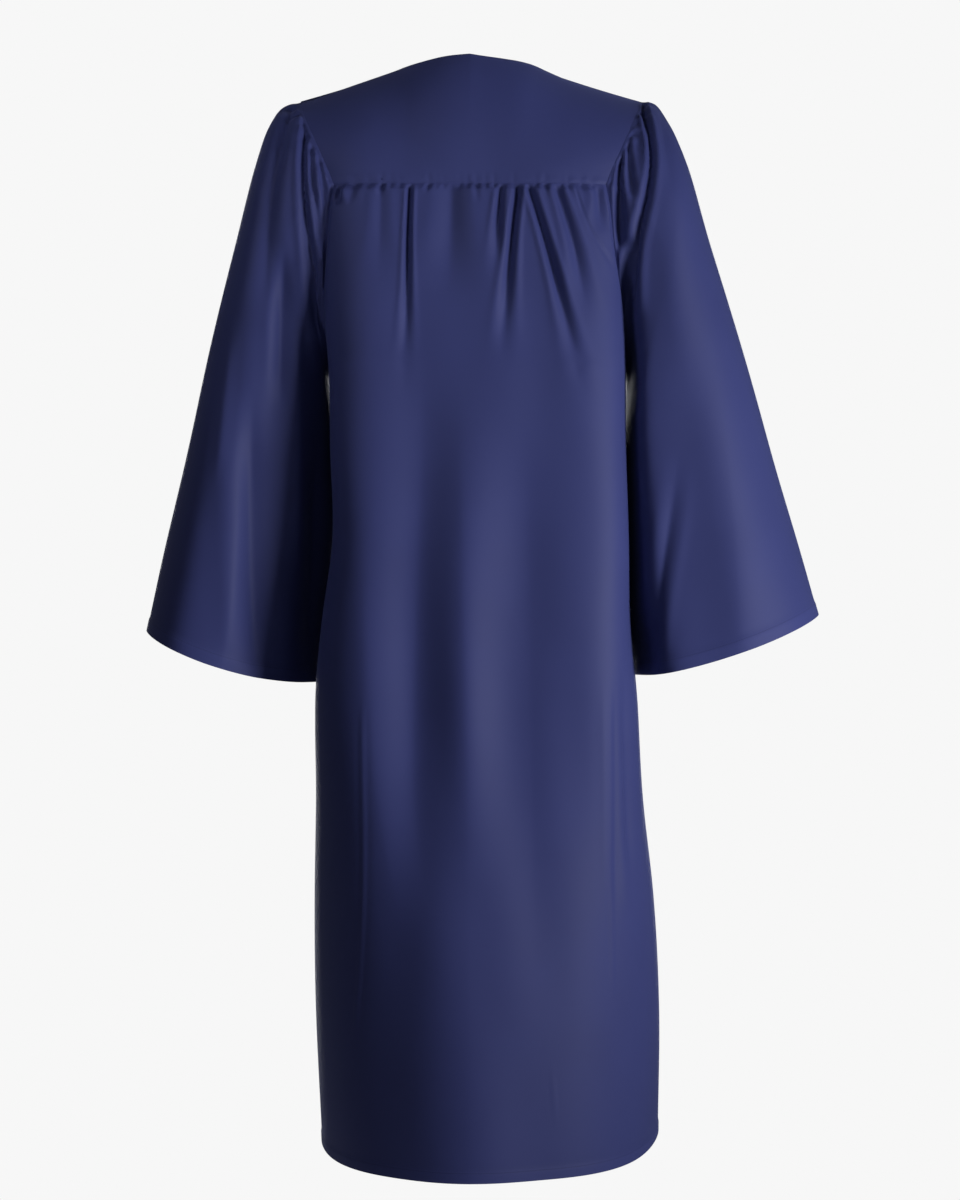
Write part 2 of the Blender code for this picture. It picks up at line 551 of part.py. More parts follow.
def prism(name, outline, low, high, frame, surface):
    """A flat-ended bar along the zip, with an outline of (across, out) points."""
    shape = bmesh.new()
    near = [shape.verts.new(frame @ Vector((x, low, out))) for x, out in outline]
    far = [shape.verts.new(frame @ Vector((x, high, out))) for x, out in outline]
    for k in range(len(outline)):
        n = (k + 1) % len(outline)
        shape.faces.new((near[k], near[n], far[n], far[k]))
    shape.faces.new(near[::-1])
    shape.faces.new(far)
    bmesh.ops.recalc_face_normals(shape, faces=shape.faces[:])
    return place(name, shape, surface)


def arch(name, height, frame, surface):
    """A bent wire whose two feet stand up and down the zip at a height out of it."""
    shape = bmesh.new()
    loops = []
    for turn in np.linspace(0, math.pi, BAIL_STEPS + 1):
        along = Vector((0, math.cos(turn), math.sin(turn)))
        loop = []
        for angle in np.linspace(0, 2 * math.pi, BAIL_SIDES, endpoint=False):
            offset = along * (BAIL_RADIUS + BAIL_WIRE * math.cos(angle))
            offset += Vector((BAIL_WIRE * math.sin(angle), 0, height))
            loop.append(shape.verts.new(frame @ offset))
        loops.append(loop)
    for near, far in zip(loops[:-1], loops[1:]):
        for k in range(BAIL_SIDES):
            n = (k + 1) % BAIL_SIDES
            shape.faces.new((near[k], near[n], far[n], far[k]))
    shape.faces.new(loops[0])
    shape.faces.new(loops[-1][::-1])
    bmesh.ops.recalc_face_normals(shape, faces=shape.faces[:])
    return place(name, shape, surface)


def pull_tab(name, height, frame, surface):
    """A flat tab hanging from its hinge line at a height out of the zip, with an eye for the arch."""
    shape = bmesh.new()
    rows = []
    for row in PULL_ROWS:
        places = (-row.half_width, -PULL_EYE_HALF_WIDTH, PULL_EYE_HALF_WIDTH, row.half_width)
        rows.append([shape.verts.new(frame @ Vector((x, -row.down, height))) for x in places])
    for i in range(len(rows) - 1):
        for j in range(3):
            if (i, j) != (1, 1):
                shape.faces.new((rows[i][j], rows[i + 1][j], rows[i + 1][j + 1], rows[i][j + 1]))
    piece = place(name, shape, surface)
    wall = piece.modifiers.new("plate", "SOLIDIFY")
    wall.thickness = PULL_THICKNESS
    wall.offset = 0
    return piece


for old in list(bpy.data.objects):
    bpy.data.objects.remove(old)
gown = bpy.data.collections.new("graduation_gown")
bpy.context.scene.collection.children.link(gown)

navy = material("navy_cloth", (0.035, 0.042, 0.13), 0.6)
tape_navy = material("zip_tape", (0.020, 0.024, 0.070), 0.8)
chain_navy = material("zip_chain", (0.018, 0.020, 0.055), 0.35)
pull_metal = material("zip_slider_paint", (0.012, 0.014, 0.040), 0.35, 0.3)

# Body
beside_neck = np.linspace(NECK_SHARE, 1, YOKE_COLUMNS_BESIDE_NECK)
behind_neck = np.linspace(-NECK_SHARE, NECK_SHARE, YOKE_COLUMNS_BEHIND_NECK)[1:-1]
across_yoke = np.concatenate([-beside_neck[::-1], behind_neck, beside_neck])
yoke = np.stack([yoke_column(t, np.linspace(0, 1, YOKE_ROWS)) for t in across_yoke], axis=1)
back = back_panel()
front_left = front_panel(1)
front_right = front_panel(-1)
cloth_piece("yoke", yoke, navy, flip=False)
cloth_piece("back", back, navy, flip=False)
cloth_piece("front_left", front_left, navy, flip=True)
cloth_piece("front_right", front_right, navy, flip=False)

# Sleeves
underarm_back = BACK_DROPS.index(UNDERARM_DROP) + 1
underarm_front = FRONT_TOP_ROWS + FRONT_DROPS.index(UNDERARM_DROP) + 1
sleeve_left = sleeve(1, back[:underarm_back, -1], front_left[:underarm_front, -1])
sleeve_right = sleeve(-1, back[:underarm_back, 0], front_right[:underarm_front, -1])
cloth_piece("sleeve_left", sleeve_left, navy, flip=True, closed=True)
cloth_piece("sleeve_right", sleeve_right, navy, flip=False, closed=True)

# Zip tapes and chain
for side, name, grid in ((1, "zip_tape_left", front_left), (-1, "zip_tape_right", front_right)):
    edge, across, outward = zip_rows(grid, side)
    inner = edge - outward * (CLOTH + 1.4 * SEAM_GAP)
    start = inner + across * (CHAIN_HALF_WIDTH + 1.4 * SEAM_GAP - ZIP_EDGE)
    end = inner + across * (TAPE_OUTER - ZIP_EDGE)
    cloth_piece(name, np.stack([start, end], axis=1), tape_navy, flip=side > 0, thickness=TAPE_THICKNESS)

edge, across, outward = zip_rows(front_left, 1)
middle = edge * np.array([0, 1, 1])
depth = outward * np.array([0, 1, 1])
front_face = middle - depth * CHAIN_SET_BACK
half = np.array([CHAIN_HALF_WIDTH, 0, 0])
chain_grid = np.stack([front_face - half, front_face + half], axis=1)
cloth_piece("zip_chain", chain_grid, chain_navy, flip=True, thickness=CHAIN_THICKNESS)

# Bottom stop, slider and pull tab
stop_frame = zip_frame(middle, depth, ZIP_END + 2 * STOP_LENGTH)
stop_low = SEAM_GAP - CHAIN_SET_BACK
stop_outline = [
    (-STOP_WIDTH / 2, stop_low),
    (STOP_WIDTH / 2, stop_low),
    (STOP_WIDTH / 2, stop_low + STOP_THICKNESS),
    (-STOP_WIDTH / 2, stop_low + STOP_THICKNESS),
]
prism("zip_stop", stop_outline, -STOP_LENGTH / 2, STOP_LENGTH / 2, stop_frame, pull_metal)

slider_frame = zip_frame(middle, depth, SLIDER_LEVEL)
plate_low, plate_top = SLIDER_LIFT, SLIDER_LIFT + SLIDER_PLATE
slider_outline = [
    (-SLIDER_CORE_WIDTH / 2, stop_low),
    (SLIDER_CORE_WIDTH / 2, stop_low),
    (SLIDER_CORE_WIDTH / 2, plate_low),
    (SLIDER_WIDTH / 2, plate_low),
    (SLIDER_WIDTH / 2, plate_top),
    (-SLIDER_WIDTH / 2, plate_top),
    (-SLIDER_WIDTH / 2, plate_low),
    (-SLIDER_CORE_WIDTH / 2, plate_low),
]
prism("zip_slider", slider_outline, -SLIDER_LENGTH / 2, SLIDER_LENGTH / 2, slider_frame, pull_metal)
arch("zip_bail", plate_top + SEAM_GAP, slider_frame, pull_metal)
pull_tab("zip_pull", plate_top + PULL_AXIS_HEIGHT, slider_frame, pull_metal)
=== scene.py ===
"""The looks of the graduation gown: each cloth piece as a thin folded sheet over its solid, with its seams,
stitching and zip, on a pale studio floor.

Metres, +Z up. The wearer faces -Y and the wearer's left is +X. The picture is taken from behind.
"""

import math
from collections import namedtuple

import bmesh
import bpy
import numpy as np
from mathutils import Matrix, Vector


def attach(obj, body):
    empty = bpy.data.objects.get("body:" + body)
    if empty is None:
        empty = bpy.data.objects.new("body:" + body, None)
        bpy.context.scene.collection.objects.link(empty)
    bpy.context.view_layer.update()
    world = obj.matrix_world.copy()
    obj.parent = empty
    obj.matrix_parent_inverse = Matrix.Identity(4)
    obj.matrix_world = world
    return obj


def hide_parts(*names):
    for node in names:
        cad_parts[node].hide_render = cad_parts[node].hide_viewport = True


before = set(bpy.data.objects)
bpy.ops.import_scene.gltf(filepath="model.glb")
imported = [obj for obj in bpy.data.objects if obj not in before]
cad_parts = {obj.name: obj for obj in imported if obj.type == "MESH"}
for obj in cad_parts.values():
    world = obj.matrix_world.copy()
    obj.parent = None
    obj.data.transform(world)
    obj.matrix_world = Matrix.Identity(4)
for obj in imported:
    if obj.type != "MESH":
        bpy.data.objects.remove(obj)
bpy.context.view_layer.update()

# Sizes of the cut, the same as the solids'
SEAM_GAP = 0.0
NECK_HALF_WIDTH = 0.077
SHOULDER_HALF_WIDTH = 0.187
NECK_SHARE = NECK_HALF_WIDTH / SHOULDER_HALF_WIDTH
SHOULDER_DROP = 0.0385
SHOULDER_SEAM_Y = -0.012
NAPE_Y = 0.050
NECK_ROUNDNESS = 0.42
YOKE_LEVEL = -0.1430
ARMHOLE_WIDEST_LEVEL = -0.190
UNDERARM_LEVEL = -0.332
ARMHOLE_BACK_Y = 0.090
ARMHOLE_FRONT_Y = -0.070
HEM_LEVEL = -1.180
HEM_RISE_LEFT = 0.006
HEM_RISE_RIGHT = 0.016
FRONT_ROUNDNESS = 2.3
GATHER_PUFF = 0.0040
ZIP_TOP = -0.1455
ZIP_END = -0.930
ZIP_EDGE = 0.0032
ZIP_SEAM_CLOSES = 0.020
CHAIN_SET_BACK = 0.0005

# The yoke's curve from the middle to the shoulder tip: how steeply it leaves the shoulder line, and how
# upright it meets the yoke seam
YokeLead = namedtuple("YokeLead", "x slope rise")
YOKE_LEADS = (
    YokeLead(0.000, -0.165, 0.100),
    YokeLead(0.0385, -0.165, 0.094),
    YokeLead(0.055, -0.105, 0.088),
    YokeLead(0.066, -0.040, 0.081),
    YokeLead(0.077, 0.060, 0.073),
    YokeLead(0.100, 0.160, 0.062),
    YokeLead(0.130, 0.200, 0.056),
    YokeLead(0.187, 0.220, 0.052),
)
YOKE_REACH = 0.62
YOKE_SPREAD = 0.022
CROWN_ROUNDNESS = 1.3

# Sizes of the sheets and of what is sewn on them
CLOTH = 0.0008
ALLOWANCE = 0.006
TUCK = 0.0016
HEM_DEPTH = 0.012
CUFF_DEPTH = 0.015
TAPE = 0.0009
TAPE_OUTER = 0.0140
CHAIN_HALF_WIDTH = 0.0027
TAPE_SET_BACK = 0.0013
ZIP_STITCH = 0.0060
TOOTH_PITCH = 0.0016
TOOTH_RADIUS = 0.00058
TOOTH_LENGTH = 0.0034
TWILL_PITCH = 0.0011
THREAD_PITCH = 0.00045
STITCH_PITCH = 0.0028
FOLD_OPENS = 1.6
TIP_LIFT = 0.0040
HEAD_PUFF = 0.0012
SEWN_ROWS = 0.007

# Finishes
NAVY = (0.030, 0.037, 0.132)
TAPE_NAVY = (0.018, 0.022, 0.066)
COIL_NAVY = (0.016, 0.018, 0.052)
ENAMEL = (0.012, 0.014, 0.040)
BARE_METAL = (0.28, 0.28, 0.27)
CLOTH_SHEEN = {
    "Specular_IOR_Level": 0.13,
    "Sheen_Weight": 0.12,
    "Sheen_Roughness": 0.45,
    "Sheen_Tint": (0.30, 0.36, 0.85, 1),
}

# Picture: the camera stands behind the gown, and the key light comes from the wearer's right
CAMERA_DISTANCE = 2.8
FRAME_HEIGHT = 1.32
FRAME_CENTRE = (-0.011, -0.5852)
BACKGROUND = (0.93, 0.93, 0.93)
AMBIENT = 0.10
LIGHTS = (
    ("key", (-1.84, 1.34, -0.52), (0, 0, -0.53), 0.9, 8.0, 60),
    ("shoulder_light", (1.5, 1.8, 0.8), (0.09, 0.04, -0.04), 0.6, 0.36, 24),
    ("fill", (0.3, 3.4, 0.2), (0, 0, -0.35), 1.6, 5, 180),
    ("front_fill", (0.1, -3.2, -0.5), (0, 0, -0.6), 2.4, 90, 180),
)

Section = namedtuple("Section", "level left right back front back_left back_right back_roundness")
BODY = (
    Section(-0.128, 0.1740, 0.1740, 0.100, 0.104, 0.1777, 0.1777, 4.20),
    Section(-0.200, 0.1750, 0.1760, 0.113, 0.126, 0.1653, 0.1664, 4.80),
    Section(-0.270, 0.1650, 0.1720, 0.121, 0.136, 0.1571, 0.1639, 5.60),
    Section(-0.332, 0.1510, 0.1660, 0.127, 0.140, 0.1510, 0.1660, 6.30),
    Section(-0.420, 0.1490, 0.1665, 0.134, 0.144, 0.1490, 0.1665, 6.60),
    Section(-0.520, 0.1455, 0.1680, 0.142, 0.149, 0.1455, 0.1680, 6.40),
    Section(-0.605, 0.1560, 0.1690, 0.150, 0.154, 0.1560, 0.1690, 5.80),
    Section(-0.680, 0.1642, 0.1762, 0.157, 0.158, 0.1642, 0.1762, 4.80),
    Section(-0.800, 0.1664, 0.1851, 0.168, 0.165, 0.1664, 0.1851, 3.40),
    Section(-0.920, 0.1681, 0.1986, 0.180, 0.173, 0.1681, 0.1986, 2.60),
    Section(-1.050, 0.1671, 0.2055, 0.192, 0.182, 0.1671, 0.2055, 2.20),
    Section(-1.180, 0.1610, 0.2055, 0.203, 0.190, 0.1610, 0.2055, 2.05),
)

Ring = namedtuple("Ring", "along outer_x outer_z inner_x inner_z back front dip forward flat")
LEFT_SLEEVE = (
    Ring(0.00, 0.1870, -0.0385, 0.1515, -0.332, 0.092, 0.068, 0.000, 0.000, 0.00),
    Ring(0.06, 0.2060, -0.0460, 0.1555, -0.343, 0.099, 0.082, 0.000, 0.008, 0.00),
    Ring(0.12, 0.2208, -0.0680, 0.1545, -0.357, 0.103, 0.092, 0.000, 0.024, 0.00),
    Ring(0.20, 0.2346, -0.1100, 0.1510, -0.380, 0.106, 0.098, 0.002, 0.042, 0.00),
    Ring(0.34, 0.2573, -0.2000, 0.1480, -0.425, 0.109, 0.100, 0.004, 0.056, 0.00),
    Ring(0.52, 0.2834, -0.3100, 0.1450, -0.485, 0.112, 0.104, 0.006, 0.066, 0.00),
    Ring(0.72, 0.3135, -0.4400, 0.1490, -0.553, 0.118, 0.108, 0.008, 0.072, 0.00),
    Ring(0.87, 0.3360, -0.5350, 0.1570, -0.616, 0.125, 0.112, 0.010, 0.074, 0.00),
    Ring(1.00, 0.3540, -0.6180, 0.1650, -0.676, 0.130, 0.116, 0.013, 0.075, 0.00),
)
RIGHT_SLEEVE = (
    Ring(0.00, 0.1870, -0.0385, 0.1665, -0.332, 0.092, 0.068, 0.000, 0.000, 0.00),
    Ring(0.06, 0.2050, -0.0440, 0.1725, -0.343, 0.099, 0.082, 0.000, 0.008, 0.00),
    Ring(0.12, 0.2190, -0.0675, 0.1732, -0.357, 0.103, 0.092, 0.000, 0.024, 0.50),
    Ring(0.20, 0.2368, -0.1100, 0.1705, -0.380, 0.106, 0.098, 0.002, 0.042, 0.85),
    Ring(0.34, 0.2634, -0.2000, 0.1660, -0.425, 0.109, 0.100, 0.004, 0.056, 0.97),
    Ring(0.52, 0.2980, -0.3100, 0.1650, -0.485, 0.112, 0.104, 0.006, 0.066, 1.00),
    Ring(0.72, 0.3350, -0.4400, 0.1665, -0.553, 0.118, 0.108, 0.007, 0.072, 1.00),
    Ring(0.87, 0.3600, -0.5250, 0.1700, -0.612, 0.125, 0.112, 0.007, 0.074, 1.00),
    Ring(1.00, 0.3810, -0.6000, 0.1770, -0.668, 0.130, 0.116, 0.009, 0.075, 1.00),
)

# Short gathers sewn into the yoke seam: place along it, half width, depth, reach below it and sideways lean
Gather = namedtuple("Gather", "x width depth reach lean")
BACK_GATHERS = (
    Gather(0.122, 0.0040, 0.0024, 0.030, 0.004),
    Gather(0.107, 0.0028, 0.0016, 0.012, 0.001),
    Gather(0.093, 0.0026, 0.0034, 0.018, 0.002),
    Gather(0.084, 0.0030, 0.0014, 0.012, -0.001),
    Gather(0.074, 0.0026, 0.0016, 0.010, 0.001),
    Gather(0.043, 0.0026, 0.0030, 0.014, 0.003),
    Gather(0.035, 0.0024, 0.0014, 0.010, 0.001),
    Gather(0.028, 0.0026, 0.0016, 0.010, 0.000),
    Gather(0.010, 0.0024, 0.0014, 0.012, 0.001),
    Gather(0.002, 0.0026, 0.0016, 0.010, 0.000),
    Gather(-0.007, 0.0028, 0.0022, 0.028, -0.001),
    Gather(-0.017, 0.0024, 0.0014, 0.012, 0.000),
    Gather(-0.026, 0.0026, 0.0028, 0.016, -0.002),
    Gather(-0.047, 0.0024, 0.0020, 0.012, 0.001),
    Gather(-0.070, 0.0026, 0.0022, 0.016, -0.003),
    Gather(-0.080, 0.0028, 0.0030, 0.020, -0.002),
    Gather(-0.097, 0.0026, 0.0018, 0.014, -0.001),
    Gather(-0.104, 0.0028, 0.0024, 0.022, -0.004),
    Gather(-0.118, 0.0030, 0.0018, 0.016, -0.002),
    Gather(-0.130, 0.0030, 0.0020, 0.016, -0.002),
)

# Long folds: half width, depth (a trough is positive, a ridge negative), the length over which each end
# fades, and the path seen from behind as (x, z) points from the top down
Fold = namedtuple("Fold", "width depth fade path")
BACK_FOLDS = (
    Fold(0.0024, 0.0064, 0.16, ((0.063, -0.146), (0.0645, -0.184), (0.066, -0.275), (0.069, -0.372))),
    Fold(0.0100, 0.0050, 0.10, ((0.019, -0.143), (0.020, -0.200), (0.024, -0.290))),
    Fold(0.0030, 0.0062, 0.08, ((-0.034, -0.143), (-0.030, -0.184), (-0.029, -0.250))),
    Fold(0.0032, 0.0076, 0.12, ((-0.052, -0.143), (-0.046, -0.190), (-0.038, -0.276), (-0.032, -0.345))),
    Fold(0.0034, 0.0076, 0.16, ((-0.062, -0.143), (-0.080, -0.205), (-0.099, -0.280), (-0.122, -0.385))),
    Fold(0.0040, 0.0062, 0.08, ((-0.091, -0.143), (-0.110, -0.210), (-0.124, -0.295))),
    Fold(0.0050, 0.0020, 0.08, ((0.093, -0.143), (0.094, -0.190), (0.096, -0.270))),
    Fold(0.0260, 0.0058, 0.22, ((0.045, -0.300), (0.051, -0.480), (0.057, -0.660), (0.058, -0.780), (0.040, -0.940))),
    Fold(0.0180, -0.0026, 0.20, ((0.108, -0.470), (0.108, -0.620), (0.098, -0.760), (0.066, -0.960))),
    Fold(0.0270, -0.0058, 0.24, ((0.010, -0.330), (0.006, -0.600), (0.002, -0.760), (0.000, -0.920))),
    Fold(0.0480, -0.0060, 0.26, ((0.006, -0.720), (0.002, -0.900), (0.000, -1.060), (0.000, -1.460))),
    Fold(0.0380, 0.0052, 0.24, ((-0.060, -0.330), (-0.062, -0.600), (-0.066, -0.850), (-0.068, -1.040))),
    Fold(0.0060, 0.0050, 0.08, ((-0.160, -0.640), (-0.163, -0.750), (-0.168, -0.900))),
    Fold(0.0050, 0.0030, 0.08, ((-0.149, -0.650), (-0.151, -0.800), (-0.153, -0.930))),
    Fold(0.0012, 0.0009, 0.02, ((-0.110, -0.143), (-0.124, -0.187), (-0.155, -0.240))),
    Fold(0.0024, 0.0060, 0.014, ((0.1370, -0.143), (0.1395, -0.156), (0.1405, -0.170))),
    Fold(0.0040, 0.0050, 0.030, ((-0.1360, -0.143), (-0.1375, -0.165), (-0.1400, -0.200))),
)
# Sharp lines pressed in while the gown lay folded: half width, depth, fade and path
BACK_CREASES = (
    Fold(0.0022, -0.0007, 0.05, ((0.110, -0.680), (0.110, -0.900), (0.116, -1.000), (0.121, -1.060))),
    Fold(0.0020, -0.0006, 0.05, ((-0.146, -0.670), (-0.147, -0.900), (-0.150, -1.010))),
    Fold(0.0020, -0.0005, 0.03, ((-0.084, -1.060), (-0.090, -1.130))),
)
FRONT_FOLDS = (
    Fold(0.0180, 0.0100, 0.14, ((0.060, -0.260), (0.066, -0.600), (0.076, -1.250))),
    Fold(0.0150, 0.0080, 0.14, ((0.112, -0.300), (0.118, -0.600), (0.126, -1.250))),
    Fold(0.0060, 0.0030, 0.08, ((0.090, -0.160), (0.094, -0.260), (0.096, -0.420))),
    Fold(0.0060, 0.0030, 0.08, ((0.036, -0.350), (0.038, -0.520), (0.036, -0.760))),
    Fold(0.0170, 0.0100, 0.14, ((-0.056, -0.280), (-0.064, -0.600), (-0.078, -1.250))),
    Fold(0.0160, 0.0090, 0.14, ((-0.118, -0.260), (-0.124, -0.600), (-0.144, -1.250))),
    Fold(0.0060, 0.0030, 0.08, ((-0.086, -0.170), (-0.092, -0.300), (-0.094, -0.400))),
    Fold(0.0070, 0.0030, 0.10, ((-0.030, -0.500), (-0.034, -0.700), (-0.038, -0.900))),
)
LEFT_SLEEVE_FOLDS = (
    Fold(0.0030, 0.0075, 0.03, ((0.175, -0.055), (0.1775, -0.127), (0.1753, -0.167), (0.169, -0.223), (0.157, -0.305))),
    Fold(0.0024, 0.0045, 0.02, ((0.170, -0.095), (0.168, -0.138), (0.1626, -0.175), (0.160, -0.215))),
    Fold(0.0022, 0.0040, 0.02, ((0.160, -0.110), (0.155, -0.150), (0.153, -0.200))),
    Fold(0.0060, 0.0045, 0.05, ((0.196, -0.060), (0.206, -0.110), (0.215, -0.174), (0.216, -0.290))),
    Fold(0.0070, 0.0050, 0.06, ((0.198, -0.200), (0.200, -0.300), (0.202, -0.390))),
    Fold(0.0130, 0.0070, 0.12, ((0.231, -0.340), (0.231, -0.559), (0.218, -0.720))),
    Fold(0.0150, -0.0038, 0.12, ((0.247, -0.400), (0.249, -0.522), (0.254, -0.580), (0.274, -0.720))),
    Fold(0.0050, -0.0009, 0.05, ((0.254, -0.290), (0.262, -0.386), (0.270, -0.470))),
    Fold(0.0120, -0.0060, 0.12, ((0.186, -0.280), (0.186, -0.420), (0.188, -0.600))),
    Fold(0.0120, 0.0085, 0.12, ((0.162, -0.380), (0.164, -0.520), (0.178, -0.720))),
)
RIGHT_SLEEVE_FOLDS = (
    Fold(0.0030, 0.0085, 0.03, ((-0.188, -0.050), (-0.1946, -0.115), (-0.188, -0.157), (-0.1755, -0.203), (-0.163, -0.290))),
    Fold(0.0028, 0.0080, 0.014, ((-0.1605, -0.110), (-0.1590, -0.150), (-0.1585, -0.214))),
    Fold(0.0024, 0.0040, 0.02, ((-0.169, -0.085), (-0.170, -0.130), (-0.171, -0.165))),
    Fold(0.0050, 0.0025, 0.03, ((-0.208, -0.070), (-0.212, -0.120), (-0.214, -0.160))),
    Fold(0.0070, 0.0030, 0.12, ((-0.222, -0.420), (-0.212, -0.497), (-0.198, -0.581), (-0.180, -0.720))),
    Fold(0.0200, -0.0016, 0.14, ((-0.262, -0.330), (-0.274, -0.450), (-0.290, -0.720))),
)
SLEEVE_FRONT_FOLDS = (
    Fold(0.0055, 0.0080, 0.04, ((0.188, -0.055), (0.190, -0.120), (0.178, -0.210), (0.164, -0.290))),
    Fold(0.0045, 0.0045, 0.03, ((0.166, -0.075), (0.167, -0.120), (0.168, -0.190))),
    Fold(0.0120, 0.0070, 0.12, ((0.232, -0.240), (0.244, -0.420), (0.258, -0.720))),
    Fold(0.0110, 0.0060, 0.12, ((0.200, -0.330), (0.204, -0.520), (0.212, -0.720))),
    Fold(0.0050, -0.0020, 0.08, ((0.262, -0.300), (0.276, -0.420), (0.290, -0.560))),
)
# Gathers of each sleeve head: turn round the armhole in degrees, half width in degrees, depth, reach
HeadGather = namedtuple("HeadGather", "turn width depth reach")
HEAD_GATHERS = (
    HeadGather(14, 3.0, 0.0026, 0.10),
    HeadGather(27, 2.2, 0.0030, 0.07),
    HeadGather(38, 2.0, 0.0026, 0.05),
    HeadGather(47, 2.0, 0.0030, 0.06),
    HeadGather(56, 1.8, 0.0024, 0.04),
    HeadGather(65, 2.0, 0.0028, 0.05),
    HeadGather(76, 2.2, 0.0020, 0.04),
    HeadGather(286, 2.4, 0.0022, 0.05),
    HeadGather(299, 2.2, 0.0028, 0.06),
    HeadGather(311, 2.2, 0.0026, 0.05),
    HeadGather(322, 2.4, 0.0030, 0.08),
    HeadGather(334, 2.6, 0.0024, 0.06),
    HeadGather(347, 3.0, 0.0026, 0.09),
)


def ease(share):
    """0 to 1 with level ends."""
    share = np.clip(share, 0.0, 1.0)
    return share * share * (3 - 2 * share)


def smooth_read(knots, values, at):
    """A smooth curve through rising knots and their values, read at each place."""
    knots, values = np.asarray(knots, float), np.asarray(values, float)
    at = np.clip(np.asarray(at, float), knots[0], knots[-1])
    slope = np.gradient(values, knots)
    i = np.clip(np.searchsorted(knots, at, side="right") - 1, 0, len(knots) - 2)
    step = knots[i + 1] - knots[i]
    s = (at - knots[i]) / step
    return (
        values[i] * (1 + 2 * s) * (1 - s) ** 2
        + values[i + 1] * s**2 * (3 - 2 * s)
        + slope[i] * step * s * (1 - s) ** 2
        - slope[i + 1] * step * s**2 * (1 - s)
    )


def column(table, name, knot, at):
    """One named column of a table of sections, read smoothly against its knot column."""
    rows = sorted(table, key=lambda row: getattr(row, knot))
    return smooth_read([getattr(row, knot) for row in rows], [getattr(row, name) for row in rows], at)


def lengths_along(points):
    """Distance from the start of a polyline to each of its points."""
    return np.concatenate([[0.0], np.cumsum(np.linalg.norm(np.diff(points, axis=0), axis=1))])


def spread(points, shares):
    """Points of a polyline at these shares of its length."""
    length = lengths_along(points)
    at = np.asarray(shares) * length[-1]
    return np.stack([np.interp(at, length, points[:, k]) for k in range(3)], axis=1)


def section(level, turns):
    """Points of the body's section at a level. Turn 0 is centre back, a quarter turn the wearer's left side."""
    at = {name: float(column(BODY, name, "level", level)) for name in Section._fields[1:]}
    sine, cosine = np.sin(turns), np.cos(turns)
    behind = cosine > 0
    left = np.where(behind, at["back_left"], at["left"])
    right = np.where(behind, at["back_right"], at["right"])
    power = 2 / np.where(behind, at["back_roundness"], FRONT_ROUNDNESS)
    x = np.where(sine > 0, left, right) * np.sign(sine) * np.abs(sine) ** power
    y = np.where(behind, at["back"], at["front"]) * np.sign(cosine) * np.abs(cosine) ** power
    return np.stack([x, y, np.full_like(x, level)], axis=1)


def armhole_turn(level, front):
    """The turn at which the armhole cuts the body's section: a quarter turn at the underarm and below it."""
    drop = np.clip((ARMHOLE_WIDEST_LEVEL - level) / (ARMHOLE_WIDEST_LEVEL - UNDERARM_LEVEL), 0, 1)
    depth = (abs(ARMHOLE_FRONT_Y) if front else ARMHOLE_BACK_Y) * math.sqrt(1 - drop**2)
    deep = float(column(BODY, "front" if front else "back", "level", level))
    roundness = FRONT_ROUNDNESS if front else float(column(BODY, "back_roundness", "level", level))
    from_middle = math.acos((depth / deep) ** (roundness / 2))
    return math.pi - from_middle if front else from_middle


def back_row(level, shares):
    """The back panel at a level, from the wearer's right (share 0) to left (share 1)."""
    turn = armhole_turn(level, front=False)
    fine = section(level, np.linspace(-turn, turn, 601))
    trim = SEAM_GAP / lengths_along(fine)[-1]
    return spread(fine, trim + (1 - 2 * trim) * np.asarray(shares))


def front_row(level, side, shares, edge):
    """A front at a level, from its centre edge to the armhole or side seam. side is 1 on the wearer's left."""
    turn = armhole_turn(level, front=True)
    fine = section(level, side * np.linspace(math.pi, turn, 401))
    length = lengths_along(fine)[-1]
    start, end = edge / length, 1 - SEAM_GAP / length
    return spread(fine, start + (end - start) * np.asarray(shares))


def bezier(start, start_lead, end_lead, end, shares):
    """Cubic curve from start to end. The leads are the offsets of its two inner control points."""
    s = np.asarray(shares)[:, None]
    one, two = start + start_lead, end + end_lead
    return start * (1 - s) ** 3 + 3 * one * s * (1 - s) ** 2 + 3 * two * s**2 * (1 - s) + end * s**3


def shoulder_line(x):
    """Height of the shoulder line, carried on in a low crown between the side neck points."""
    slope, far = SHOULDER_DROP / (SHOULDER_HALF_WIDTH - NECK_HALF_WIDTH), abs(x)
    if far >= NECK_HALF_WIDTH:
        share = (far - NECK_HALF_WIDTH) / (SHOULDER_HALF_WIDTH - NECK_HALF_WIDTH)
        return TIP_LIFT * share**2 - SHOULDER_DROP * share
    return slope * NECK_HALF_WIDTH * (1 - (far / NECK_HALF_WIDTH) ** CROWN_ROUNDNESS) / CROWN_ROUNDNESS


def neckline(x):
    """How far back the yoke is cut away at x."""
    inside = max(0.0, 1 - (x / NECK_HALF_WIDTH) ** 2)
    return SHOULDER_SEAM_Y + (NAPE_Y - SHOULDER_SEAM_Y) * inside**NECK_ROUNDNESS


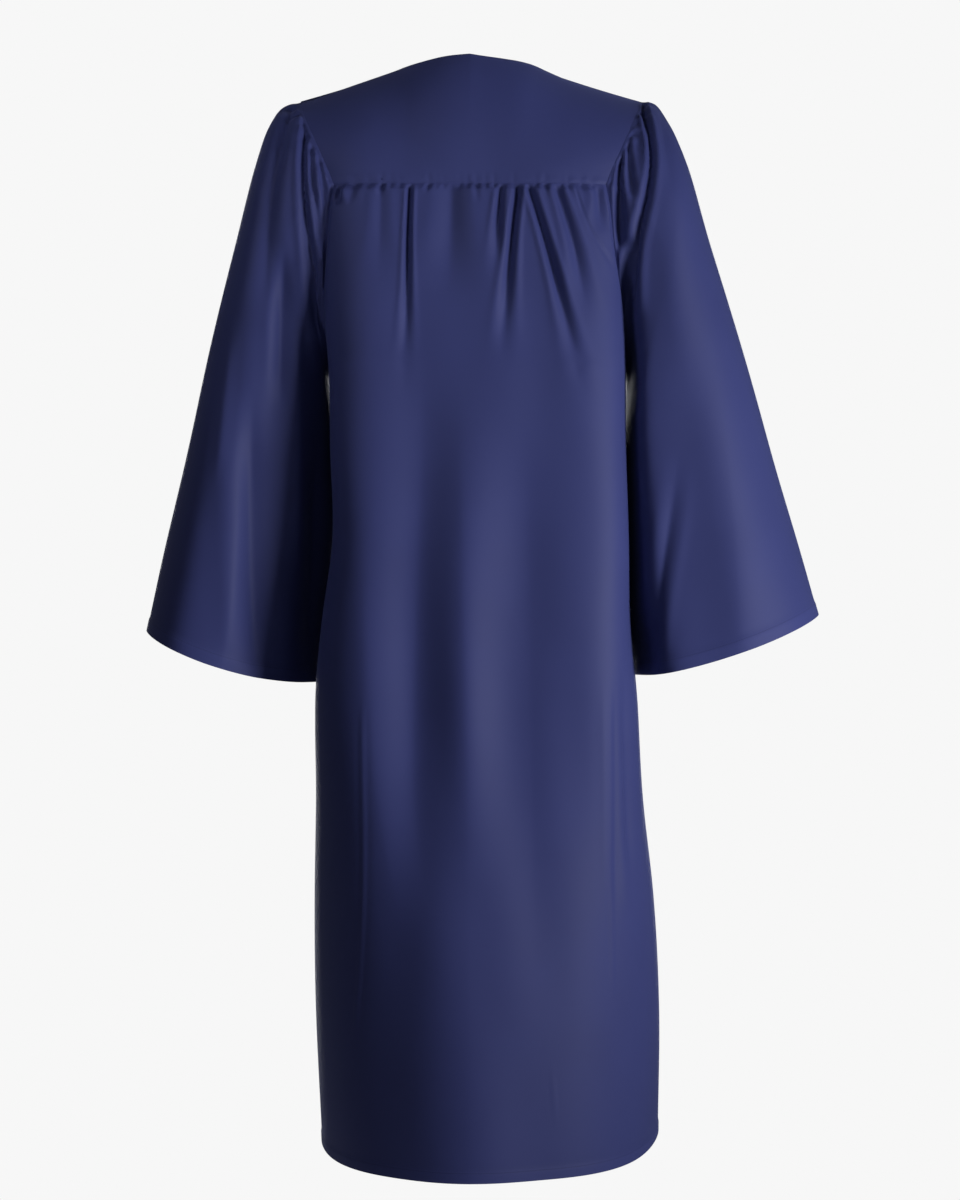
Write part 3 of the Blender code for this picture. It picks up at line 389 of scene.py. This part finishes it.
def yoke_column(across, shares):
    """The yoke from its neckline or shoulder seam down to the yoke seam. across runs from -1 to 1."""
    x = SHOULDER_HALF_WIDTH * across
    start = np.array([x, SHOULDER_SEAM_Y, shoulder_line(x)])
    end = back_row(YOKE_LEVEL, [(across + 1) / 2])[0] + np.array([0, 0, SEAM_GAP])
    reach = (end[1] - start[1]) * YOKE_REACH
    slope, rise = (float(column(YOKE_LEADS, name, "x", abs(x))) for name in ("slope", "rise"))
    start_lead = np.array([0, reach, -slope * reach])
    end_lead = np.array([YOKE_SPREAD * across**3, -0.003, rise])
    along = np.linspace(0, 1, 201)
    whole = bezier(start, start_lead, end_lead, end, along)
    cut = np.interp(neckline(x), whole[:, 1], along)
    return bezier(start, start_lead, end_lead, end, cut + (1 - cut) * np.asarray(shares))


def front_top_column(side, share, shares):
    """A front from the shoulder seam down to the level of the V's foot. share 0 is the V neck's edge."""
    x = NECK_HALF_WIDTH + (SHOULDER_HALF_WIDTH - NECK_HALF_WIDTH) * share
    start = np.array([side * x, SHOULDER_SEAM_Y - SEAM_GAP, TIP_LIFT * share**2 - SHOULDER_DROP * share])
    end = front_row(YOKE_LEVEL, side, [share], ZIP_EDGE)[0]
    outward = ease(share * 2)
    start_lead = np.array([-side * 0.018 * (1 - outward), -0.034, -0.005])
    end_lead = np.array([side * (0.020 * (1 - outward) + 0.014 * share**3), 0.010, 0.042])
    return bezier(start, start_lead, end_lead, end, shares)


def centre_edge(level):
    """How far a front's centre edge stands off the middle: clear of the zip, then closed in a seam below it."""
    closing = ease((ZIP_END - level) / ZIP_SEAM_CLOSES)
    return ZIP_EDGE + (SEAM_GAP / 2 - ZIP_EDGE) * closing


def out_of(grid, closed=False):
    """Unit normals of a grid of points, along down crossed with across. A closed grid's last column is its
    first one again."""
    across = np.gradient(grid, axis=1)
    if closed:
        across[:, 0] = across[:, -1] = (grid[:, 1] - grid[:, -2]) / 2
    found = np.cross(np.gradient(grid, axis=0), across)
    return found / np.maximum(np.linalg.norm(found, axis=2, keepdims=True), 1e-12)


def fold_profile(far):
    """A fold's cross-section at a distance counted in half widths: a trough between two low shoulders."""
    shoulders = np.exp(-(((np.abs(far) - 2.1) / 0.95) ** 2))
    return np.exp(-np.abs(far) ** 1.7) - 0.24 * shoulders


def press_of(folds, x, z):
    """How far a table of folds presses the cloth in at each (x, z)."""
    total = np.zeros_like(x)
    for fold in folds:
        path = np.array(fold.path)[::-1]
        middle = smooth_read(path[:, 1], path[:, 0], z)
        low, high = path[0, 1], path[-1, 1]
        sewn = high >= YOKE_LEVEL - 0.005
        strength = ease((z - low) / fold.fade) * (1 if sewn else ease((high - z) / fold.fade))
        opening = 1 + sewn * FOLD_OPENS * np.clip((high - z) / (high - low), 0, 1) ** 2
        total += fold.depth * strength * fold_profile((x - middle) / (fold.width * opening))
    return total


def ripple(x, z, seed):
    """Shallow unevenness that no cloth is without, in metres, the same on every run."""
    chance = np.random.default_rng(seed)
    total = np.zeros_like(x)
    for _ in range(14):
        length = chance.uniform(0.05, 0.16)
        lean = chance.normal(0, 0.35)
        start = chance.uniform(0, 2 * math.pi)
        total += np.sin((x * math.cos(lean) + z * math.sin(lean) * 0.35) * 2 * math.pi / length + start)
    return total * 0.00028


def hang_to_hem(grid):
    """Rows below the underarm are moved so that the last one lies on the hem line."""
    x, y, z = grid[:, :, 0], grid[:, :, 1], grid[:, :, 2]
    rise = np.where(x[-1] > 0, HEM_RISE_LEFT, HEM_RISE_RIGHT)
    sideways = (np.abs(x[-1]) / np.maximum(np.hypot(x[-1], y[-1]), 1e-6)) ** 9
    share = ease((UNDERARM_LEVEL - z) / (UNDERARM_LEVEL - HEM_LEVEL))
    grid[:, :, 2] = z + share * (rise * sideways)[None, :]
    return grid


def graded(length, fine, coarse, start_lead, end_lead):
    """Places from 0 to length whose steps grow from fine to coarse over a lead at each end."""
    at = np.linspace(0, length, 4001)
    step = fine + (coarse - fine) * ease(np.minimum(at / start_lead, (length - at) / end_lead))
    count = np.concatenate([[0], np.cumsum(2 / (step[1:] + step[:-1]) * np.diff(at))])
    return np.interp(np.linspace(0, count[-1], round(count[-1]) + 1), count, at)


def turned_hem(grid, out, depth):
    """The turned hem stands a little proud, with a dent where its stitching pulls it in."""
    down = np.flip(np.cumsum(np.flip(np.linalg.norm(np.diff(grid, axis=0), axis=2), axis=0), axis=0), axis=0)
    down = np.concatenate([down, np.zeros((1, grid.shape[1]))])
    step = 0.0007 * (1 - ease((down - depth) / 0.002)) - 0.0005 * np.exp(-(((down - depth) / 0.0016) ** 2))
    return grid + out * step[:, :, None]


def with_allowance(grid, out):
    """The grid with a seam allowance before its first row: a strip that goes in behind its neighbour."""
    along = grid[0] - grid[2]
    along /= np.maximum(np.linalg.norm(along, axis=1, keepdims=True), 1e-9)
    strip = [grid[0] + along * ALLOWANCE * share - out[2] * TUCK * ease(share * 3) for share in (1.0, 0.5, 0.2)]
    return np.concatenate([np.array(strip), grid])


def back_sheet():
    """Grid of the back panel, from the yoke seam to the hem."""
    shares = np.linspace(0, 1, 241)
    top = YOKE_LEVEL - SEAM_GAP
    levels = top - graded(top - HEM_LEVEL, 0.0017, 0.0075, 0.16, 0.05)
    grid = np.stack([back_row(level, shares) for level in levels])
    drop = (YOKE_LEVEL - levels)[:, None] * np.ones(len(shares))
    x, z = grid[:, :, 0], grid[:, :, 2]
    press = press_of(BACK_FOLDS, x, z) + press_of(BACK_CREASES, x, z) + ripple(x, z, 4)
    puff = GATHER_PUFF * (1 - 0.6 * ease((drop - 0.05) / 0.25))
    raised = (puff - press) * ease(drop / 0.009)
    for gather in BACK_GATHERS:
        middle = gather.x + gather.lean * ease(drop / gather.reach)
        fading = ease(drop / 0.0025) * (1 - ease(drop / gather.reach))
        raised -= gather.depth * fold_profile((x - middle) / gather.width) * fading
    keep = ease(np.minimum(shares, 1 - shares) / 0.024)[None, :]
    out = -out_of(grid)
    grid = grid + out * (raised * keep)[:, :, None]
    return turned_hem(hang_to_hem(grid), out, HEM_DEPTH)


def front_sheet(side):
    """Grid of one front, from the shoulder seam to the hem."""
    shares = np.linspace(0, 1, 81)
    down = np.linspace(0, 1, 36)[:-1]
    top = np.stack([front_top_column(side, share, down) for share in shares], axis=1)
    levels = YOKE_LEVEL - graded(YOKE_LEVEL - HEM_LEVEL, 0.0024, 0.0080, 0.12, 0.05)
    rows = np.stack([front_row(level, side, shares, centre_edge(level)) for level in levels])
    grid = np.concatenate([top, rows])
    x, z = grid[:, :, 0], grid[:, :, 2]
    press = press_of(FRONT_FOLDS, x, z) + ripple(x, z, 9 + side) * ease((-z - 0.16) / 0.2)
    keep = ease((shares - 0.0625) / 0.14) * ease((1 - shares) / 0.10)
    out = side * out_of(grid)
    grid = grid - out * (press * keep[None, :])[:, :, None]
    return turned_hem(hang_to_hem(grid), out, HEM_DEPTH)


def yoke_places(beside, between):
    """Places across the yoke, with one on each side neck point."""
    outer = np.linspace(NECK_SHARE, 1, beside)
    return np.concatenate([-outer[::-1], np.linspace(-NECK_SHARE, NECK_SHARE, between)[1:-1], outer])


def yoke_sheet():
    """Grid of the yoke, from the neckline and shoulder seams down to the yoke seam."""
    shares = graded(1.0, 0.010, 0.030, 0.15, 0.25)
    grid = np.stack([yoke_column(across, shares) for across in yoke_places(55, 111)], axis=1)
    x, z = grid[:, :, 0], grid[:, :, 2]
    above_seam = np.flip(np.cumsum(np.flip(np.linalg.norm(np.diff(grid, axis=0), axis=2), axis=0), axis=0), axis=0)
    above_seam = np.concatenate([above_seam, np.zeros((1, grid.shape[1]))])
    lip = 0.0005 * np.exp(-(((above_seam - 0.0035) / 0.0030) ** 2))
    pucker = np.zeros_like(x)
    for gather in BACK_GATHERS:
        pucker += 0.34 * gather.depth * fold_profile((x - gather.x) / gather.width)
    pucker *= ease(above_seam / 0.004) * (1 - ease(above_seam / 0.014))
    press = pucker + ripple(x, z, 2) * ease(above_seam / 0.02)
    out = -out_of(grid)
    return grid + out * (lip - press)[:, :, None]


def armhole(side, back_grid, front_grid, yoke_grid):
    """The armhole as the sleeve is sewn to it: points round it, and the turn of the sleeve's ring at each."""
    edge = -1 if side > 0 else 0
    behind = np.concatenate([yoke_grid[:, edge], back_grid[:, edge]])
    behind = behind[behind[:, 2] >= UNDERARM_LEVEL]
    ahead = front_grid[:, -1]
    ahead = ahead[ahead[:, 2] >= UNDERARM_LEVEL]
    down_back, down_front = np.linspace(0, 1, 181), np.linspace(0, 1, 101)
    behind, ahead = spread(behind, down_back), spread(ahead, down_front)
    behind[0, 1] = ahead[0, 1] = SHOULDER_SEAM_Y
    bottom = np.array([behind[-1, 0], 0, UNDERARM_LEVEL])
    turn_behind = math.pi * down_back
    turn_ahead = math.pi * (2 - down_front)
    points = np.concatenate([behind[:-1], [bottom], ahead[-2::-1]])
    return points, np.concatenate([turn_behind, turn_ahead[-2::-1]])


def sleeve_ring(table, along, turns):
    """One ring of a sleeve on the +X side. Turn 0 is its outer line, a quarter turn its back."""
    at = {name: float(column(table, name, "along", along)) for name in Ring._fields[1:]}
    inward = np.sin(turns / 2) ** 2
    behind = np.sin(turns) > 0
    x = at["outer_x"] + (at["inner_x"] - at["outer_x"]) * inward
    z = at["outer_z"] + (at["inner_z"] - at["outer_z"]) * inward - at["dip"] * np.sin(turns) ** 2
    pinch = 1.0 + 0.25 * ease((along - 0.2) / 0.6) * (np.cos(turns) > 0)
    round_depth = (1 - np.abs(np.cos(turns)) ** 2.5) ** (pinch / 2.5)
    flat = at["flat"] * (behind & (np.cos(turns) < 0))
    depth = round_depth + flat * (1 - np.cos(turns) ** 10 - round_depth)
    y = np.where(behind, at["back"], -at["front"]) * depth - at["forward"] * inward ** (1 + 15 * at["flat"])
    return np.stack([x, y, z], axis=1)


def sleeve_sheet(side, back_grid, front_grid, yoke_grid):
    """Grid of a sleeve, rings from the armhole to the cuff."""
    seam, turns = armhole(side, back_grid, front_grid, yoke_grid)
    table, folds = (LEFT_SLEEVE, LEFT_SLEEVE_FOLDS) if side > 0 else (RIGHT_SLEEVE, RIGHT_SLEEVE_FOLDS)
    alongs = graded(1.0, 0.0035, 0.0090, 0.18, 0.06)
    mirror = np.array([side, 1, 1])
    rings = np.stack([sleeve_ring(table, along, turns) for along in alongs])
    start = seam * mirror + np.array([SEAM_GAP, 0, 0])
    fade = 1 - ease(alongs / 0.22)
    grid = (rings + (start - rings[0])[None, :, :] * fade[:, None, None]) * mirror
    grid[:, -1] = grid[:, 0]
    x, z = grid[:, :, 0], grid[:, :, 2]
    behind = press_of(folds, x, z) + ripple(x, z, 20 + side)
    ahead = press_of(SLEEVE_FRONT_FOLDS, x * side, z) + ripple(x, z, 30 + side)
    from_line = np.minimum(np.abs(turns), np.abs(2 * math.pi - turns))
    from_line = np.minimum(from_line, np.abs(math.pi - turns))
    keep = ease(from_line / 0.35)[None, :] * ease((alongs - SEWN_ROWS) / 0.016)[:, None]
    press = np.where(turns[None, :] < math.pi, behind, ahead) * keep
    head = ease((alongs - SEWN_ROWS) / 0.03) * (1 - ease((alongs - 0.05) / 0.12))
    press -= HEAD_PUFF * head[:, None] * np.maximum(np.cos(turns), 0)[None, :]
    for gather in HEAD_GATHERS:
        far = (np.degrees(turns) - gather.turn) / gather.width
        fading = ease((alongs - SEWN_ROWS) / 0.010) * (1 - ease(alongs / gather.reach))
        press += gather.depth * fold_profile(far)[None, :] * fading[:, None]
    out = side * out_of(grid, closed=True)
    grid = grid - out * press[:, :, None]
    return turned_hem(grid, out, CUFF_DEPTH)


def cloth_sheet(name, grid, outward, replaced, surface=None, thickness=CLOTH, tube=False):
    """A sheet of cloth over one of the solids, from a grid whose rows run down the cloth. outward is 1 where
    down crossed with across points out of the gown."""
    if outward > 0:
        grid = grid[:, ::-1]
    rows, columns = grid.shape[:2]
    bpy.ops.object.select_all(action="DESELECT")
    bpy.ops.mesh.primitive_grid_add(x_subdivisions=columns - 1, y_subdivisions=rows - 1)
    piece = bpy.context.object
    piece.name = piece.data.name = name
    piece.data.vertices.foreach_set("co", grid.reshape(-1))
    across = np.zeros((rows, columns))
    across[:, 1:] = np.cumsum(np.linalg.norm(np.diff(grid, axis=1), axis=2), axis=1)
    up = np.zeros((rows, columns))
    up[:-1] = np.cumsum(np.linalg.norm(np.diff(grid, axis=0), axis=2)[::-1], axis=0)[::-1]
    corners = np.empty(len(piece.data.loops), int)
    piece.data.loops.foreach_get("vertex_index", corners)
    laid_flat = np.stack([across.reshape(-1)[corners], up.reshape(-1)[corners]], axis=1)
    piece.data.uv_layers.active.name = "cloth"
    piece.data.uv_layers.active.data.foreach_set("uv", laid_flat.reshape(-1))
    if tube:
        bpy.ops.object.mode_set(mode="EDIT")
        bpy.ops.mesh.select_all(action="SELECT")
        bpy.ops.mesh.remove_doubles(threshold=0.00002)
        bpy.ops.object.mode_set(mode="OBJECT")
    bpy.ops.object.modifier_add(type="SOLIDIFY")
    wall = piece.modifiers[-1]
    wall.thickness, wall.offset = thickness, -1
    bpy.ops.object.modifier_apply(modifier=wall.name)
    bpy.ops.object.shade_smooth_by_angle(angle=math.radians(70))
    piece.data.materials.clear()
    piece.data.materials.append(surface)
    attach(piece, "gown")
    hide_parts(replaced)
    return piece


class Link:
    """A socket of a material being built, with arithmetic that adds its Math nodes."""

    def __init__(self, finish, socket):
        self.finish, self.socket = finish, socket

    def _math(self, operation, *values):
        return self.finish.node("Math", {"operation": operation}, *values)

    def __add__(self, other):
        return self._math("ADD", self, other)

    def __radd__(self, other):
        return self._math("ADD", other, self)

    def __sub__(self, other):
        return self._math("SUBTRACT", self, other)

    def __rsub__(self, other):
        return self._math("SUBTRACT", other, self)

    def __mul__(self, other):
        return self._math("MULTIPLY", self, other)

    def __rmul__(self, other):
        return self._math("MULTIPLY", other, self)

    def __truediv__(self, other):
        return self._math("DIVIDE", self, other)

    def __abs__(self):
        return self._math("ABSOLUTE", self)

    def sine(self):
        return self._math("SINE", self)

    def part(self):
        return self._math("FRACT", self)

    def below(self, other):
        return self._math("LESS_THAN", self, other)

    def above(self, other):
        return self._math("GREATER_THAN", self, other)

    def other(self, output):
        """Another output of the node that this one comes from."""
        return Link(self.finish, self.socket.node.outputs[output])


class Finish:
    """A material and the one way its nodes are added."""

    def __init__(self, name, colour, roughness, **constants):
        self.material = bpy.data.materials.new(name)
        self.material.use_nodes = True
        self.tree = self.material.node_tree
        self.shader = self.tree.nodes["Principled BSDF"]
        self.shader.inputs["Base Color"].default_value = (*colour, 1)
        self.shader.inputs["Roughness"].default_value = roughness
        for socket, value in constants.items():
            self.shader.inputs[socket.replace("_", " ")].default_value = value

    def node(self, kind, settings, *values, output=0, sockets=()):
        """A node of this kind: its settings first, then what goes into its sockets, in order or by name."""
        made = self.tree.nodes.new("ShaderNode" + kind)
        for setting, value in settings.items():
            if setting == "stops":
                for element, stop in zip(made.color_ramp.elements, value):
                    element.position, element.color = stop[0], (*stop[1], 1)
            else:
                setattr(made, setting, value)
        for key, value in list(enumerate(values)) + list(dict(sockets).items()):
            if isinstance(value, Link):
                self.tree.links.new(value.socket, made.inputs[key])
            else:
                made.inputs[key].default_value = value
        return Link(self, made.outputs[output])

    def mixed(self, share, first, second):
        """Two colours mixed, the second by this share."""
        colours = {6: first, 7: second}
        for key, colour in colours.items():
            if not isinstance(colour, Link):
                colours[key] = (*colour, 1)
        return self.node("Mix", {"data_type": "RGBA"}, share, output=2, sockets=colours)

    def feed(self, socket, link):
        self.tree.links.new(link.socket, self.shader.inputs[socket])

    def relief(self, height, depth, strength=1.0):
        """Bumps of a height from 0 to 1, this deep in metres."""
        sockets = {"Height": height, "Distance": depth, "Strength": strength}
        self.feed("Normal", self.node("Bump", {}, sockets=sockets))


def within(value, low, high):
    """1 where the value lies between low and high, and 0 elsewhere."""
    return value.above(low) * value.below(high)


def sewn_cloth(name, hem, edge_seam=None, colour=NAVY):
    """Navy satin-backed polyester: fine twill, slight unevenness, a turned hem with its line of stitches and with its
    band painted lighter as painted light, and a stitched seam beside the sheet's first edge where one is given."""
    finish = Finish(name, colour, 0.58, **CLOTH_SHEEN)
    laid = finish.node("UVMap", {"uv_map": "cloth"})
    across = finish.node("SeparateXYZ", {}, laid)
    up = across.other(1)
    place = finish.node("TexCoord", {}, output=3)
    cloudy = finish.node("TexNoise", {}, sockets={"Vector": place, "Scale": 9.0, "Detail": 3.0})
    grain = finish.node("TexNoise", {}, sockets={"Vector": place, "Scale": 1400.0, "Detail": 1.0})
    twill = ((across + up) * (2 * math.pi / TWILL_PITCH)).sine()
    threads = (across * (2 * math.pi / THREAD_PITCH)).sine()
    stitched = within(up, hem - 0.0020, hem - 0.0012) * (across / STITCH_PITCH).part().below(0.62)
    if edge_seam:
        beside = within(across, edge_seam - 0.0004, edge_seam + 0.0004)
        stitched = stitched + beside * (up / STITCH_PITCH).part().below(0.62)
    # Painted light: the turned hem's band is mixed 1.25 times lighter below, in place of the light that comes through
    # the cloth there.
    hem_painted_light = up.below(hem)
    lighter, darker = [tuple(part * share for part in colour) for share in (1.12, 0.90)]
    shade = finish.mixed(cloudy, darker, lighter)
    shade = finish.mixed(hem_painted_light * 0.35, shade, tuple(part * 1.25 for part in colour))
    shade = finish.mixed(stitched * 0.6, shade, tuple(part * 0.45 for part in colour))
    finish.feed("Base Color", shade)
    finish.feed("Roughness", cloudy * 0.08 + 0.54)
    finish.relief(twill * 0.25 + threads * 0.12 + grain * 0.35 - stitched * 1.5, 0.00010, 0.55)
    return finish.material


def zip_cloth():
    """Woven tape of the zip, in fine ribs along its length."""
    finish = Finish("tape_weave", TAPE_NAVY, 0.8)
    laid = finish.node("UVMap", {"uv_map": "cloth"})
    across = finish.node("SeparateXYZ", {}, laid)
    ribs = (across * (2 * math.pi / 0.0008)).sine()
    weft = (across.other(1) * (2 * math.pi / 0.0006)).sine()
    finish.feed("Base Color", finish.mixed(ribs * 0.5 + 0.5, TAPE_NAVY, tuple(part * 1.5 for part in TAPE_NAVY)))
    finish.relief(ribs * 0.5 + weft * 0.3, 0.00015)
    return finish.material


def coil_plastic():
    """Smooth dyed nylon of the coil."""
    finish = Finish("coil_nylon", COIL_NAVY, 0.35)
    place = finish.node("TexCoord", {}, output=3)
    spread_of = finish.node("TexNoise", {}, sockets={"Vector": place, "Scale": 120.0, "Detail": 2.0})
    finish.feed("Roughness", spread_of * 0.15 + 0.28)
    finish.feed("Base Color", finish.mixed(spread_of, COIL_NAVY, tuple(part * 1.4 for part in COIL_NAVY)))
    return finish.material


def zip_enamel():
    """Dark enamel over die-cast metal, rubbed a little where fingers and the coil wear it."""
    finish = Finish("slider_enamel", ENAMEL, 0.32, Metallic=0.3)
    place = finish.node("TexCoord", {}, output=3)
    specks = finish.node("TexNoise", {}, sockets={"Vector": place, "Scale": 900.0, "Detail": 2.0})
    rubbed = finish.node("TexNoise", {}, sockets={"Vector": place, "Scale": 260.0, "Detail": 4.0})
    wear = rubbed.above(0.64)
    finish.feed("Base Color", finish.mixed(wear * 0.5, ENAMEL, BARE_METAL))
    finish.feed("Roughness", specks * 0.2 + 0.22)
    finish.relief(specks, 0.00004, 0.4)
    return finish.material


def zip_line(grid):
    """Heights of the zip's rows and how far forward its middle line lies at each."""
    order = np.argsort(grid[:, 0, 2])
    return grid[order, 0, 2], grid[order, 0, 1]


def tape_grid(grid, side):
    """Grid of one zip tape, behind the edge of a front."""
    rows = (grid[:, 0, 2] < ZIP_TOP) & (grid[:, 0, 2] > ZIP_END)
    edge, beside = grid[rows, 0], grid[rows, 1]
    across = (beside - edge) / np.linalg.norm(beside - edge, axis=1, keepdims=True)
    outward = side * np.cross(np.gradient(edge, axis=0), across)
    outward /= np.linalg.norm(outward, axis=1, keepdims=True)
    inner = edge - outward * TAPE_SET_BACK
    places = np.linspace(CHAIN_HALF_WIDTH + 0.0004, TAPE_OUTER, 9) - ZIP_EDGE
    return np.stack([inner + across * place for place in places], axis=1)


def zip_coil(grid, surface):
    """Both halves of the coil: one tooth, copied down the zip in turn to the left and right."""
    bpy.ops.object.select_all(action="DESELECT")
    count = round((ZIP_TOP - ZIP_END) / TOOTH_PITCH) - 1
    bpy.ops.mesh.primitive_cylinder_add(vertices=8, radius=TOOTH_RADIUS, depth=TOOTH_LENGTH, rotation=(0, math.pi / 2, 0))
    coil = bpy.context.object
    coil.name = coil.data.name = "zip_coil"
    bpy.ops.object.transform_apply(location=True, rotation=True, scale=True)
    bpy.ops.object.mode_set(mode="EDIT")
    bpy.ops.mesh.select_all(action="DESELECT")
    shape = bmesh.from_edit_mesh(coil.data)
    for edge in shape.edges:
        edge.select = abs(edge.verts[0].co.x - edge.verts[1].co.x) < 1e-6
    shape.select_flush_mode()
    bmesh.update_edit_mesh(coil.data)
    bpy.ops.mesh.bevel(offset=TOOTH_RADIUS * 0.5, segments=1)
    bpy.ops.mesh.select_all(action="SELECT")
    bpy.ops.transform.translate(value=((CHAIN_HALF_WIDTH - TOOTH_LENGTH) / 2 + 0.0003, 0, 0))
    bpy.ops.mesh.duplicate()
    bpy.ops.transform.translate(value=(-(CHAIN_HALF_WIDTH - TOOTH_LENGTH) - 0.0006, 0, -TOOTH_PITCH / 2))
    bpy.ops.object.mode_set(mode="OBJECT")
    bpy.ops.object.modifier_add(type="ARRAY")
    run = coil.modifiers[-1]
    run.count = count
    run.use_relative_offset = False
    run.use_constant_offset = True
    run.constant_offset_displace = (0, 0, -TOOTH_PITCH)
    bpy.ops.object.modifier_apply(modifier=run.name)
    level, forward = zip_line(grid)
    co = np.empty(len(coil.data.vertices) * 3)
    coil.data.vertices.foreach_get("co", co)
    co = co.reshape(-1, 3)
    co[:, 2] += ZIP_TOP - TOOTH_PITCH
    co[:, 1] += np.interp(co[:, 2], level, forward) + CHAIN_SET_BACK + TOOTH_RADIUS
    coil.data.vertices.foreach_set("co", co.reshape(-1))
    bpy.ops.object.shade_smooth_by_angle(angle=math.radians(40))
    coil.data.materials.clear()
    coil.data.materials.append(surface)
    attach(coil, "gown")
    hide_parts("zip_chain")
    return coil


# Cloth
body_cloth = sewn_cloth("navy_polyester_body", HEM_DEPTH)
front_cloth = sewn_cloth("navy_polyester_fronts", HEM_DEPTH, edge_seam=ZIP_STITCH)
sleeve_cloth = sewn_cloth("navy_polyester_sleeves", CUFF_DEPTH)
yoke_cloth = sewn_cloth("navy_polyester_yoke", 0.0)
tape_cloth = zip_cloth()

yoke = yoke_sheet()
back = back_sheet()
fronts = {side: front_sheet(side) for side in (1, -1)}
cloth_sheet("yoke_cloth", yoke, -1, "yoke", surface=yoke_cloth)
cloth_sheet(
    "back_cloth", with_allowance(back, -out_of(back)), -1, "back",
    surface=body_cloth,
)
for side, name in ((1, "left"), (-1, "right")):
    front = fronts[side]
    sleeve = sleeve_sheet(side, back, front, yoke)
    sewn_sleeve = with_allowance(sleeve, side * out_of(sleeve, closed=True))
    cloth_sheet(
        "front_" + name + "_cloth", front, side, "front_" + name,
        surface=front_cloth,
    )
    cloth_sheet(
        "sleeve_" + name + "_cloth", sewn_sleeve, side, "sleeve_" + name,
        surface=sleeve_cloth, tube=True,
    )
    cloth_sheet(
        "tape_" + name + "_weave", tape_grid(front, side), side, "zip_tape_" + name,
        surface=tape_cloth, thickness=TAPE,
    )

# Zip
zip_coil(fronts[1], coil_plastic())
enamel = zip_enamel()
for name in ("zip_stop", "zip_slider", "zip_bail", "zip_pull"):
    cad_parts[name].material_slots[0].material = enamel

# Studio
FLOOR_LEVEL = -1.46
floor_finish = Finish("pale_floor", (0.82, 0.82, 0.82), 0.9)
place = floor_finish.node("TexCoord", {}, output=3)
faint = floor_finish.node("TexNoise", {}, sockets={"Vector": place, "Scale": 2.0, "Detail": 2.0})
floor_finish.feed("Base Color", floor_finish.mixed(faint, (0.80, 0.80, 0.80), (0.84, 0.84, 0.84)))
bpy.ops.object.select_all(action="DESELECT")
bpy.ops.mesh.primitive_circle_add(vertices=96, radius=0.9, fill_type="NGON", location=(0, 0, FLOOR_LEVEL))
floor = bpy.context.object
floor.name = "floor"
bpy.ops.object.transform_apply(location=True, rotation=True, scale=True)
floor.data.materials.append(floor_finish.material)


def lamp(name, place, aim, size, power, spread_angle):
    """A square soft light. The spread angle, in degrees, is narrow where a grid holds the light together."""
    data = bpy.data.lights.new(name, "AREA")
    data.shape = "SQUARE"
    data.size, data.energy, data.spread = size, power, math.radians(spread_angle)
    light = bpy.data.objects.new(name, data)
    bpy.context.scene.collection.objects.link(light)
    light.location = place
    light.rotation_euler = (Vector(aim) - Vector(place)).to_track_quat("-Z", "Y").to_euler()


for light in LIGHTS:
    lamp(*light)

world = bpy.data.worlds.new("studio")
world.use_nodes = True
tree = world.node_tree
seen = tree.nodes["Background"]
seen.inputs["Color"].default_value = (*BACKGROUND, 1)
ambient = tree.nodes.new("ShaderNodeBackground")
ambient.inputs["Color"].default_value = (1, 1, 1, 1)
ambient.inputs["Strength"].default_value = AMBIENT
choice = tree.nodes.new("ShaderNodeMixShader")
path = tree.nodes.new("ShaderNodeLightPath")
tree.links.new(path.outputs["Is Camera Ray"], choice.inputs[0])
tree.links.new(ambient.outputs[0], choice.inputs[1])
tree.links.new(seen.outputs[0], choice.inputs[2])
tree.links.new(choice.outputs[0], tree.nodes["World Output"].inputs[0])
bpy.context.scene.world = world
bpy.context.scene.view_settings.view_transform = "Standard"

# Camera, level with the middle of the gown, behind it
camera_data = bpy.data.cameras.new("camera")
camera_data.lens = 36 * CAMERA_DISTANCE / FRAME_HEIGHT
camera = bpy.data.objects.new("camera", camera_data)
camera.location = (FRAME_CENTRE[0], CAMERA_DISTANCE, FRAME_CENTRE[1])
camera.rotation_euler = (math.pi / 2, 0, math.pi)
bpy.context.scene.collection.objects.link(camera)
bpy.context.scene.camera = camera
